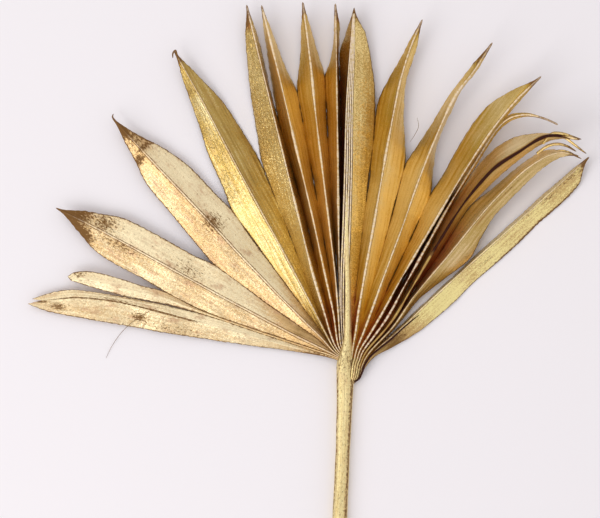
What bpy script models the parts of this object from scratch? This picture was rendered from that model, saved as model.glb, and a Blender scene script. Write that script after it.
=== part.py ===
"""Dried fan palm leaf, lying flat: one stalk and seventeen pleated leaf segments that spread from its head.

Metres, +Z up. The origin is where the leaf segments meet the stalk, on the surface that the leaf lies on.
The stalk runs along -Y and the segments fan out around +Y. Each segment is a folded blade: its midrib is
a ridge, and its two margins are low. Next to the hub a segment's margins run beside its neighbours' along a
seam, and past the notch between them the segment is a free, tapering tip.
"""

import math

import bmesh
import bpy
import numpy as np

MM = 0.001
OBJECT_NAME = "fan_palm_leaf"

# Driving dimensions, in mm.
BLADE_THICKNESS = 0.35
SEAM_GAP = 0.3  # clear space between two segments along their seam
BLADE_START = 9.7  # radius at which a segment leaves the stalk's head
BLADE_ROWS = 22  # rows of points from head to tip
BLADE_COLUMNS = 4  # faces from the left margin to the right one
LENGTH_SAMPLES = 400  # points on which a rib's length is measured
LARGEST_PULL = 0.6  # the most of its way to the rib that a margin is pulled in
STALK_LENGTH = 240.0
STALK_LEAN = 2.3  # degrees that the stalk leans off -Y, towards -X
STALK_TOP_WIDTH = 8.6
STALK_END_WIDTH = 7.2
STALK_THICKNESS = 6.0
STALK_SIDES = 13
STALK_STATIONS = 9
SHARP_ANGLE = 40.0  # degrees, past which an edge of the stalk stays sharp

# The stalk's head, which spreads to the blade: each section's y, centre x, half width and height.
HEAD_SECTIONS = [
    (-9.0, -0.4, 4.35, 6.0),
    (-4.0, 0.2, 5.0, 6.4),
    (0.0, 0.9, 6.6, 6.6),
    (3.0, 1.0, 7.9, 6.6),
    (5.5, 0.9, 7.2, 6.2),
    (7.5, 0.7, 5.2, 5.4),
    (8.8, 0.6, 2.6, 4.2),
]

# The seam between each segment and the next, from the head out to the notch where they part. Every point of
# a seam, rib or margin is a radius in mm, an angle in degrees from +X about +Z, and a height in mm.
SEAMS = [
    [(10, 147.2, 4.0), (15, 153.5, 3.4), (30, 157.7, 2.8), (50, 159.3, 2.8), (77, 160.1, 3.2)],
    [(10, 141.8, 4.0), (15, 149.7, 3.4), (30, 155.7, 2.8), (50, 158.1, 2.8), (77, 159.0, 3.2),
     (97, 157.7, 3.6)],
    [(10, 135.7, 4.1), (15, 135.5, 3.5), (30, 139.2, 2.6), (50, 141.6, 2.8), (83, 142.4, 3.4)],
    [(10, 129.2, 4.1), (15, 126.0, 3.4), (30, 126.0, 2.2), (50, 126.4, 1.8), (75, 126.4, 1.8),
     (96, 126.2, 2.0)],
    [(10, 122.7, 4.1), (15, 120.3, 3.3), (30, 117.0, 1.9), (50, 114.3, 0.9), (75, 113.1, 0.4),
     (108, 112.7, 0.3)],
    [(10, 116.0, 4.1), (15, 113.2, 3.2), (30, 107.5, 1.9), (50, 106.3, 1.0), (75, 105.3, 0.4),
     (110, 105.3, 0.3), (125, 105.4, 0.3)],
    [(10, 109.2, 4.1), (15, 104.5, 3.2), (30, 100.7, 1.9), (50, 99.9, 1.0), (75, 99.9, 0.4),
     (120, 100.0, 0.3), (139, 100.1, 0.4)],
    [(10, 102.7, 4.1), (15, 99.2, 3.2), (30, 96.8, 1.9), (50, 95.4, 1.0), (75, 95.0, 0.3),
     (128, 94.4, 0.3), (146, 94.2, 0.3)],
    [(10, 95.5, 4.1), (15, 94.5, 3.2), (30, 93.5, 1.9), (50, 92.6, 0.9), (75, 91.8, 0.3),
     (135, 91.3, 0.3), (157, 91.3, 0.3)],
    [(10, 79.0, 4.1), (15, 80.0, 3.4), (30, 82.4, 2.6), (50, 82.8, 2.7), (75, 83.0, 3.0),
     (112, 83.0, 3.0), (128, 83.4, 3.0)],
    [(10, 64.5, 4.1), (15, 67.0, 3.4), (30, 71.2, 2.7), (50, 72.4, 2.9), (75, 73.0, 3.4),
     (105, 73.7, 4.0)],
    [(10, 54.5, 4.1), (15, 56.2, 3.4), (30, 60.3, 2.6), (50, 62.3, 2.8), (75, 63.2, 3.4),
     (95, 63.8, 4.2)],
    [(10, 45.5, 4.1), (15, 48.0, 3.2), (30, 52.3, 2.0), (50, 56.0, 2.0), (75, 57.4, 2.4),
     (96, 58.1, 4.5)],
    [(10, 36.5, 4.1), (15, 42.0, 3.2), (30, 46.4, 2.0), (50, 51.8, 2.0), (75, 54.9, 2.4),
     (88, 56.3, 3.6)],
    [(10, 27.0, 4.1), (15, 36.0, 3.2), (30, 41.6, 2.0), (50, 48.0, 2.0), (75, 50.3, 2.6),
     (100, 52.2, 5.5)],
    [(10, 15.5, 4.1), (15, 29.5, 3.2)],
]

# Each segment's rib from head to tip, then its left and right margins past their seams.
SEGMENTS = [
    {
        "rib": [(10, 150.2, 4.8), (15, 155.6, 4.3), (30, 160.9, 3.8), (50, 162.6, 4.0),
                (75, 163.4, 4.4), (110, 163.9, 4.6), (136, 165.4, 4.6), (151, 167.3, 4.6),
                (162, 168.6, 4.6)],
        "left": [(10, 153.5, 4.0), (15, 158.5, 3.2), (25, 163.5, 2.2), (42, 167.2, 1.9),
                 (71, 169.1, 2.4), (100, 169.6, 2.6), (150, 169.7, 3.0), (162, 168.9, 4.2)],
        "right": [(95, 161.4, 3.4), (122, 163.0, 3.4), (141, 164.3, 3.4), (149, 165.4, 3.4),
                  (162, 168.3, 4.2)],
    },
    {
        "rib": [(10, 144.5, 4.6), (15, 151.6, 4.1), (30, 156.7, 3.4), (50, 158.7, 3.4),
                (77, 159.5, 3.9), (97, 159.4, 4.6), (115, 160.6, 5.2), (135, 161.3, 5.6),
                (146, 162.1, 5.6)],
        "left": [(95, 161.0, 4.0), (115, 162.4, 4.4), (133, 162.8, 4.8), (146, 162.7, 5.2)],
        "right": [(110, 158.5, 4.4), (128, 159.1, 4.8), (140, 160.1, 5.0), (146, 161.6, 5.2)],
    },
    {
        "rib": [(10, 138.8, 4.9), (15, 144.5, 4.4), (30, 149.2, 4.0), (50, 150.3, 4.6),
                (75, 150.8, 5.6), (115, 150.9, 6.4), (135, 151.0, 6.4), (165, 151.4, 6.4)],
        "left": [(107, 156.9, 3.8), (133, 155.8, 4.0), (141, 154.9, 4.2), (150, 153.2, 4.6),
                 (165, 151.6, 6.2)],
        "right": [(93, 143.9, 3.8), (115, 145.2, 4.0), (134, 146.4, 4.0), (142, 147.8, 4.2),
                  (165, 151.2, 6.2)],
    },
    {
        "rib": [(10, 132.5, 5.0), (15, 130.8, 4.7), (30, 132.9, 4.6), (50, 133.5, 5.4),
                (75, 133.6, 6.4), (95, 133.4, 6.8), (140, 133.4, 7.0), (170, 133.3, 7.0)],
        "left": [(92, 141.4, 3.8), (115, 139.0, 3.6), (136, 137.5, 3.4), (146, 135.9, 4.0),
                 (170, 133.5, 6.7)],
        "right": [(105, 127.0, 2.2), (125, 128.0, 2.4), (141, 129.8, 2.8), (156, 132.0, 4.4),
                  (170, 133.0, 6.7)],
    },
    {
        "rib": [(10, 126.0, 5.0), (15, 123.2, 4.8), (30, 119.9, 5.2), (50, 118.9, 6.2),
                (75, 118.7, 7.4), (110, 118.7, 8.0), (150, 118.5, 7.0), (179, 118.6, 6.0)],
        "left": [(105, 124.9, 2.0), (125, 123.2, 1.8), (141, 121.4, 2.2), (160, 120.0, 3.4),
                 (179, 118.8, 5.7)],
        "right": [(125, 113.7, 0.4), (143, 114.8, 1.4), (162, 116.9, 3.4), (179, 118.3, 5.7)],
    },
    {
        "rib": [(10, 119.5, 5.0), (15, 117.2, 4.9), (28, 112.2, 5.6), (50, 109.7, 7.6),
                (75, 107.8, 9.8), (110, 106.5, 10.6), (150, 105.8, 9.4), (187, 105.4, 7.0)],
        "left": [(121, 111.2, 0.5), (140, 109.6, 1.4), (160, 108.0, 3.2), (187, 105.7, 6.7)],
        "right": [(140, 105.3, 0.9), (160, 105.0, 2.6), (187, 105.2, 6.7)],
    },
    {
        "rib": [(10, 112.5, 5.0), (15, 108.0, 4.9), (28, 103.2, 5.8), (50, 102.9, 8.0),
                (75, 102.7, 11.0), (110, 102.9, 11.6), (150, 103.0, 10.4), (185, 103.2, 7.0)],
        "left": [(140, 105.0, 0.9), (152, 104.5, 1.8), (165, 103.9, 3.6), (185, 103.5, 6.7)],
        "right": [(146, 100.9, 0.9), (153, 101.6, 1.8), (165, 102.3, 3.6), (185, 103.0, 6.7)],
    },
    {
        "rib": [(10, 106.0, 5.0), (15, 101.8, 4.9), (28, 98.0, 5.8), (50, 96.7, 8.0), (75, 96.8, 11.0),
                (121, 96.9, 11.6), (155, 96.7, 10.0), (183, 96.8, 7.0)],
        "left": [(147, 99.2, 0.9), (154, 98.5, 1.8), (165, 97.8, 3.6), (183, 97.1, 6.7)],
        "right": [(152, 94.7, 0.9), (159, 95.3, 1.8), (168, 95.9, 3.6), (183, 96.5, 6.7)],
    },
    {
        "rib": [(10, 99.5, 5.0), (15, 97.0, 4.9), (30, 95.6, 5.8), (50, 93.9, 8.0), (75, 92.9, 11.0),
                (108, 92.2, 11.6), (152, 91.8, 10.0), (181, 91.7, 7.0)],
        "left": [(152, 93.1, 1.4), (161, 92.3, 3.0), (172, 92.0, 4.6), (181, 92.0, 6.7)],
        "right": [(163, 91.1, 1.8), (170, 91.0, 3.6), (181, 91.4, 6.7)],
    },
    {
        "rib": [(10, 89.5, 5.2), (15, 89.3, 5.2), (30, 89.4, 6.2), (50, 89.7, 8.0), (75, 89.8, 10.4),
                (115, 89.6, 11.0), (150, 89.2, 9.8), (179, 88.7, 7.0)],
        "left": [(164, 90.2, 2.4), (172, 89.6, 4.6), (179, 89.0, 6.7)],
        "right": [(136, 83.9, 3.0), (153, 85.3, 3.6), (170, 87.1, 5.0), (179, 88.4, 6.7)],
    },
    {
        "rib": [(10, 70.0, 5.0), (15, 73.2, 4.9), (28, 77.2, 6.2), (46, 78.5, 8.8), (75, 79.0, 12.0),
                (110, 79.4, 13.4), (140, 79.3, 12.4), (160, 78.7, 11.6), (177, 77.6, 12.0)],
        "left": [(140, 82.2, 4.0), (156, 80.0, 6.6), (166, 78.9, 9.0), (177, 77.9, 11.7)],
        "right": [(115, 75.2, 4.2), (132, 77.4, 6.0), (146, 78.2, 8.0), (158, 77.6, 8.6),
                  (177, 77.3, 11.7)],
    },
    {
        "rib": [(10, 59.0, 5.0), (15, 61.2, 4.9), (30, 65.2, 6.4), (50, 67.2, 9.2), (75, 68.0, 12.6),
                (102, 68.7, 14.0), (130, 68.5, 14.0), (146, 68.0, 14.0), (160, 66.6, 14.4),
                (177, 65.7, 16.0)],
        "left": [(112, 72.5, 4.4), (132, 70.2, 6.4), (150, 68.5, 9.4), (177, 66.0, 15.7)],
        "right": [(106, 65.9, 5.0), (120, 67.8, 6.4), (146, 67.6, 9.4), (160, 66.2, 11.6),
                  (177, 65.4, 15.7)],
    },
    {
        "rib": [(10, 50.0, 5.0), (15, 52.0, 4.9), (30, 55.4, 6.4), (50, 57.7, 9.4), (75, 58.4, 13.2),
                (105, 58.7, 15.4), (135, 58.3, 16.4), (156, 57.4, 17.4), (174, 56.1, 20.0)],
        "left": [(105, 63.2, 5.0), (130, 62.7, 8.0), (147, 61.6, 10.6), (160, 59.0, 14.6),
                 (174, 56.4, 19.7)],
        "right": [(115, 58.2, 10.2), (135, 57.9, 12.6), (148, 57.3, 14.6), (162, 56.6, 16.4),
                  (174, 55.8, 19.7)],
    },
    {
        "rib": [(10, 41.0, 5.0), (15, 45.0, 4.9), (30, 49.2, 6.2), (50, 54.0, 9.2), (75, 56.4, 11.2),
                (96, 57.4, 9.6), (118, 57.6, 9.2), (137, 57.7, 10.4), (146, 57.1, 13.0),
                (150, 56.2, 15.6), (155, 54.1, 18.8), (158, 51.6, 21.0), (160, 48.8, 22.0)],
        "left": [(118, 58.1, 8.0), (137, 58.1, 9.2), (147, 57.6, 12.2), (155, 54.7, 18.0),
                 (160, 49.1, 21.6)],
        "right": [(118, 57.1, 8.0), (137, 57.2, 9.2), (146, 56.4, 12.2), (155, 53.6, 18.0),
                  (160, 48.5, 21.6)],
    },
    {
        "rib": [(10, 32.0, 5.0), (15, 39.0, 4.9), (30, 43.8, 6.2), (50, 49.8, 8.8), (75, 53.1, 11.0),
                (100, 54.1, 13.0), (120, 53.5, 15.6), (138, 51.0, 19.0), (152, 49.1, 22.0),
                (162, 44.2, 24.0)],
        "left": [(112, 57.0, 6.2), (125, 56.2, 8.6), (140, 54.2, 13.6), (151, 50.3, 19.0),
                 (162, 44.5, 23.7)],
        "right": [(115, 51.6, 9.2), (135, 50.0, 14.2), (152, 47.9, 19.0), (162, 43.9, 23.7)],
    },
    {
        "rib": [(10, 22.0, 5.0), (15, 33.0, 4.9), (30, 39.6, 6.0), (50, 46.0, 8.2), (75, 47.3, 10.4),
                (105, 48.3, 13.2), (128, 47.9, 16.6), (143, 46.6, 19.6), (151, 45.0, 21.0),
                (156, 42.2, 21.6)],
        "left": [(115, 50.4, 8.0), (135, 48.9, 12.6), (147, 47.3, 17.0), (156, 42.6, 21.3)],
        "right": [(30, 37.4, 3.4), (50, 42.6, 4.0), (66, 41.6, 4.2), (80, 40.7, 4.4), (92, 43.4, 6.6),
                  (108, 45.5, 9.4), (130, 45.5, 13.6), (147, 44.6, 18.0), (156, 41.8, 21.3)],
    },
    {
        "rib": [(10, 9.0, 5.0), (15, 26.0, 4.9), (23, 31.6, 5.4), (35, 34.9, 6.0), (50, 37.8, 7.0),
                (75, 39.3, 8.2), (102, 40.0, 8.2), (130, 40.4, 7.6), (160, 40.7, 6.6)],
        "left": [(30, 35.6, 2.6), (50, 38.8, 1.6), (75, 40.1, 1.0), (102, 40.7, 0.8), (145, 41.0, 2.4),
                 (160, 41.0, 6.3)],
        "right": [(10, 2.5, 4.0), (15, 19.5, 3.2), (24, 22.0, 2.4), (39, 24.9, 1.6), (50, 28.0, 1.2),
                  (64, 31.1, 1.0), (80, 33.5, 0.8), (117, 36.3, 0.5), (145, 37.7, 1.4),
                  (160, 40.4, 6.3)],
    },
]

# Base colour, roughness and metallic value of the gold-painted blade and stalk.
PALE_GOLD = (0.80, 0.68, 0.42, 0.42, 0.6)
DEEP_GOLD = (0.62, 0.38, 0.10, 0.34, 0.8)
STALK_GOLD = (0.72, 0.56, 0.26, 0.45, 0.6)
FLAT_SEGMENTS = 4  # the segments at the left that lie open, in the paler gold


def clear_scene():
    """Remove whatever objects the file holds."""
    for thing in list(bpy.data.objects):
        bpy.data.objects.remove(thing, do_unlink=True)


def gold(name, finish):
    """A Principled material from (red, green, blue, roughness, metallic)."""
    material = bpy.data.materials.new(name)
    material.use_nodes = True
    shader = material.node_tree.nodes["Principled BSDF"]
    shader.inputs["Base Color"].default_value = (*finish[:3], 1.0)
    shader.inputs["Roughness"].default_value = finish[3]
    shader.inputs["Metallic"].default_value = finish[4]
    return material


def smooth_curve(points, radii):
    """Angle and height at each radius, on the curve through (radius, angle, height) points.

    Each span is a cubic. Its slope at a point is the harmonic mean of the slopes to both sides, or level
    where they differ in sign, so the curve never swings past its points.
    """
    table = np.array(points, dtype=float)
    knots = table[:, 0]
    steps = np.diff(knots)[:, None]
    slopes = np.diff(table[:, 1:], axis=0) / steps
    before, after = slopes[:-1], slopes[1:]
    same_way = before * after > 0
    total = np.where(same_way, before + after, 1.0)
    inner = np.where(same_way, 2.0 * before * after / total, 0.0)
    tangents = np.vstack([slopes[:1], inner, slopes[-1:]])
    at = np.clip(np.searchsorted(knots, radii, side="right") - 1, 0, len(knots) - 2)
    width = steps[at]
    t = (np.asarray(radii)[:, None] - knots[at][:, None]) / width
    start, end = table[at, 1:], table[at + 1, 1:]
    return (
        (2 * t**3 - 3 * t**2 + 1) * start
        + (t**3 - 2 * t**2 + t) * width * tangents[at]
        + (3 * t**2 - 2 * t**3) * end
        + (t**3 - t**2) * width * tangents[at + 1]
    )


def to_points(radii, curve):
    """Points in mm from radii, angles in degrees and heights."""
    turn = np.radians(curve[:, 0])
    return np.stack([radii * np.cos(turn), radii * np.sin(turn), curve[:, 1]], axis=1)


def even_radii(rib_points, count):
    """Radii from the head to the tip that cut the rib into stretches of equal length."""
    fine = np.linspace(BLADE_START, rib_points[-1][0], LENGTH_SAMPLES)
    steps = np.diff(to_points(fine, smooth_curve(rib_points, fine)), axis=0)
    along = np.concatenate([[0.0], np.cumsum(np.linalg.norm(steps, axis=1))])
    return np.interp(np.linspace(0.0, along[-1], count), along, fine)


def pulled_in(margin, rib, distance):
    """The margin moved level towards the rib by a distance, but by no more than LARGEST_PULL of the way."""
    across = rib - margin
    across[:, 2] = 0.0
    reach = np.linalg.norm(across, axis=1, keepdims=True)
    return margin + across * np.minimum(distance / reach, LARGEST_PULL)


def segment_margins(index):
    """The left and right margins of a segment, each as one list of points from head to tip."""
    segment = SEGMENTS[index]
    left_seam = SEAMS[index - 1] if index > 0 else []
    right_seam = SEAMS[index] if index < len(SEAMS) else []
    return left_seam + segment["left"], right_seam + segment["right"]


def add_segment(name, index, material, collection):
    """A folded blade: a grid whose rows cross the segment and whose middle column is the rib, made solid."""
    rib_points = SEGMENTS[index]["rib"]
    left_points, right_points = segment_margins(index)
    radii = even_radii(rib_points, BLADE_ROWS)
    rib = to_points(radii, smooth_curve(rib_points, radii))
    clearance = 0.5 * (SEAM_GAP + BLADE_THICKNESS)
    left = pulled_in(to_points(radii, smooth_curve(left_points, radii)), rib, clearance)
    right = pulled_in(to_points(radii, smooth_curve(right_points, radii)), rib, clearance)

    mesh = bpy.data.meshes.new(name)
    grid = bmesh.new()
    bmesh.ops.create_grid(grid, x_segments=BLADE_COLUMNS, y_segments=BLADE_ROWS - 1, size=1.0)
    for vertex in grid.verts:
        row = round((vertex.co.y + 1.0) / 2.0 * (BLADE_ROWS - 1))
        across = vertex.co.x
        margin = left[row] if across < 0 else right[row]
        vertex.co = (rib[row] + (margin - rib[row]) * abs(across)) * MM
    grid.to_mesh(mesh)
    grid.free()

    blade = bpy.data.objects.new(name, mesh)
    blade.data.materials.append(material)
    collection.objects.link(blade)
    skin = blade.modifiers.new("Thickness", "SOLIDIFY")
    skin.thickness = BLADE_THICKNESS * MM
    skin.offset = 0.0


def stalk_section(y, centre_x, half_width, height):
    """One D-shaped cross-section in mm: a flat underside and a half-ellipse above it."""
    turn = np.linspace(0.0, math.pi, STALK_SIDES)
    level = np.full(STALK_SIDES, y)
    return np.stack([centre_x + half_width * np.cos(turn), level, height * np.sin(turn)], axis=1)


def add_stalk(material, collection):
    """A loft of D-shaped sections, flat side down, from the cut end to the rounded head."""
    lean = math.tan(math.radians(STALK_LEAN))
    neck = HEAD_SECTIONS[0][0]
    stations = []
    for share in np.linspace(0.0, 1.0, STALK_STATIONS)[:-1]:
        y = -STALK_LENGTH + share * (STALK_LENGTH + neck)
        half_width = 0.5 * (STALK_END_WIDTH + share * (STALK_TOP_WIDTH - STALK_END_WIDTH))
        stations.append((y, y * lean, half_width, STALK_THICKNESS))
    stations += HEAD_SECTIONS

    solid = bmesh.new()
    rings = []
    for station in stations:
        section = stalk_section(*station) * MM
        rings.append([solid.verts.new(point) for point in section])
    for near, far in zip(rings, rings[1:]):
        for k in range(STALK_SIDES):
            after = (k + 1) % STALK_SIDES
            solid.faces.new((near[k], near[after], far[after], far[k]))
    solid.faces.new(rings[0])
    solid.faces.new(rings[-1])
    bmesh.ops.recalc_face_normals(solid, faces=solid.faces)
    mesh = bpy.data.meshes.new("stalk")
    solid.to_mesh(mesh)
    solid.free()
    mesh.shade_smooth()
    mesh.set_sharp_from_angle(angle=math.radians(SHARP_ANGLE))
    mesh.materials.append(material)
    collection.objects.link(bpy.data.objects.new("stalk", mesh))


def build():
    """Model the whole leaf."""
    clear_scene()
    collection = bpy.data.collections.new(OBJECT_NAME)
    bpy.context.scene.collection.children.link(collection)
    pale = gold("pale_gold", PALE_GOLD)
    deep = gold("deep_gold", DEEP_GOLD)
    add_stalk(gold("stalk_gold", STALK_GOLD), collection)
    for index in range(len(SEGMENTS)):
        finish = pale if index < FLAT_SEGMENTS else deep
        add_segment(f"segment_{index + 1:02d}", index, finish, collection)


build()
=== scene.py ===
"""Dried fan palm leaf under gold spray paint, lying flat on a pale studio floor.

The leaf is one stalk and seventeen pleated segments. Each segment is a folded blade: its midrib is a ridge,
and its two margins are low. In the inner half of the fan a segment's margins meet its neighbours' along
seams, and past the notch it is a free, tapering tip. Lengths are in mm and angles in degrees from +X about
+Z until a mesh is made, which is in metres.
"""

import math

import bmesh
import bpy
import numpy as np
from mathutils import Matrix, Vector


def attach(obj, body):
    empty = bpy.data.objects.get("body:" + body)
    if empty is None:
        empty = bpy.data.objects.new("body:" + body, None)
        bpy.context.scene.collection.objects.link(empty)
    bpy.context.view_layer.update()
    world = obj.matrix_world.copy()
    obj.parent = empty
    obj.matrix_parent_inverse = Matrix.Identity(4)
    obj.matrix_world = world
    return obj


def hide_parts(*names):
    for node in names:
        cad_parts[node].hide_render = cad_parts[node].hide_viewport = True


bl_info = {
    "name": "Dried fan palm leaf",
    "version": (1, 0, 0),
    "blender": (4, 5, 0),
    "location": "3D View > Sidebar > Palm leaf",
    "description": "Builds a gold-painted fan palm leaf from its stalk, pleated segments and loose strands",
    "category": "Object",
}

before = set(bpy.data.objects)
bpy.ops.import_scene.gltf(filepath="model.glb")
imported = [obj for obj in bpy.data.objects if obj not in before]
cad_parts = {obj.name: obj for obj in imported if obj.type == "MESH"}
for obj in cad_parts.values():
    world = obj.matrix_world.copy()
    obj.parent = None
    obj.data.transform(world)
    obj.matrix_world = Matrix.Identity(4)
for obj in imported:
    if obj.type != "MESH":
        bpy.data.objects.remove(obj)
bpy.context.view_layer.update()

MM = 0.001
BODY = "root"


# The seam between each segment and the next, from the head out to the notch where they part. Every point of
# a seam, rib or margin is a radius in mm, an angle in degrees from +X about +Z, and a height in mm.
SEAMS = [
    [(10, 147.2, 4.0), (15, 153.5, 3.4), (30, 157.7, 2.8), (50, 159.3, 2.8), (77, 160.1, 3.2)],
    [(10, 141.8, 4.0), (15, 149.7, 3.4), (30, 155.7, 2.8), (50, 158.1, 2.8), (77, 159.0, 3.2),
     (97, 157.7, 3.6)],
    [(10, 135.7, 4.1), (15, 135.5, 3.5), (30, 139.2, 2.6), (50, 141.6, 2.8), (83, 142.4, 3.4)],
    [(10, 129.2, 4.1), (15, 126.0, 3.4), (30, 126.0, 2.2), (50, 126.4, 1.8), (75, 126.4, 1.8),
     (96, 126.2, 2.0)],
    [(10, 122.7, 4.1), (15, 120.3, 3.3), (30, 117.0, 1.9), (50, 114.3, 0.9), (75, 113.1, 0.4),
     (108, 112.7, 0.3)],
    [(10, 116.0, 4.1), (15, 113.2, 3.2), (30, 107.5, 1.9), (50, 106.3, 1.0), (75, 105.3, 0.4),
     (110, 105.3, 0.3), (125, 105.4, 0.3)],
    [(10, 109.2, 4.1), (15, 104.5, 3.2), (30, 100.7, 1.9), (50, 99.9, 1.0), (75, 99.9, 0.4),
     (120, 100.0, 0.3), (139, 100.1, 0.4)],
    [(10, 102.7, 4.1), (15, 99.2, 3.2), (30, 96.8, 1.9), (50, 95.4, 1.0), (75, 95.0, 0.3),
     (128, 94.4, 0.3), (146, 94.2, 0.3)],
    [(10, 95.5, 4.1), (15, 94.5, 3.2), (30, 93.5, 1.9), (50, 92.6, 0.9), (75, 91.8, 0.3),
     (135, 91.3, 0.3), (157, 91.3, 0.3)],
    [(10, 79.0, 4.1), (15, 80.0, 3.4), (30, 82.4, 2.6), (50, 82.8, 2.7), (75, 83.0, 3.0),
     (112, 83.0, 3.0), (128, 83.4, 3.0)],
    [(10, 64.5, 4.1), (15, 67.0, 3.4), (30, 71.2, 2.7), (50, 72.4, 2.9), (75, 73.0, 3.4),
     (105, 73.7, 4.0)],
    [(10, 54.5, 4.1), (15, 56.2, 3.4), (30, 60.3, 2.6), (50, 62.3, 2.8), (75, 63.2, 3.4),
     (95, 63.8, 4.2)],
    [(10, 45.5, 4.1), (15, 48.0, 3.2), (30, 52.3, 2.0), (50, 56.0, 2.0), (75, 57.4, 2.4),
     (96, 58.1, 4.5)],
    [(10, 36.5, 4.1), (15, 42.0, 3.2), (30, 46.4, 2.0), (50, 51.8, 2.0), (75, 54.9, 2.4),
     (88, 56.3, 3.6)],
    [(10, 27.0, 4.1), (15, 36.0, 3.2), (30, 41.6, 2.0), (50, 48.0, 2.0), (75, 50.3, 2.6),
     (100, 52.2, 5.5)],
    [(10, 15.5, 4.1), (15, 29.5, 3.2)],
]

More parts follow.
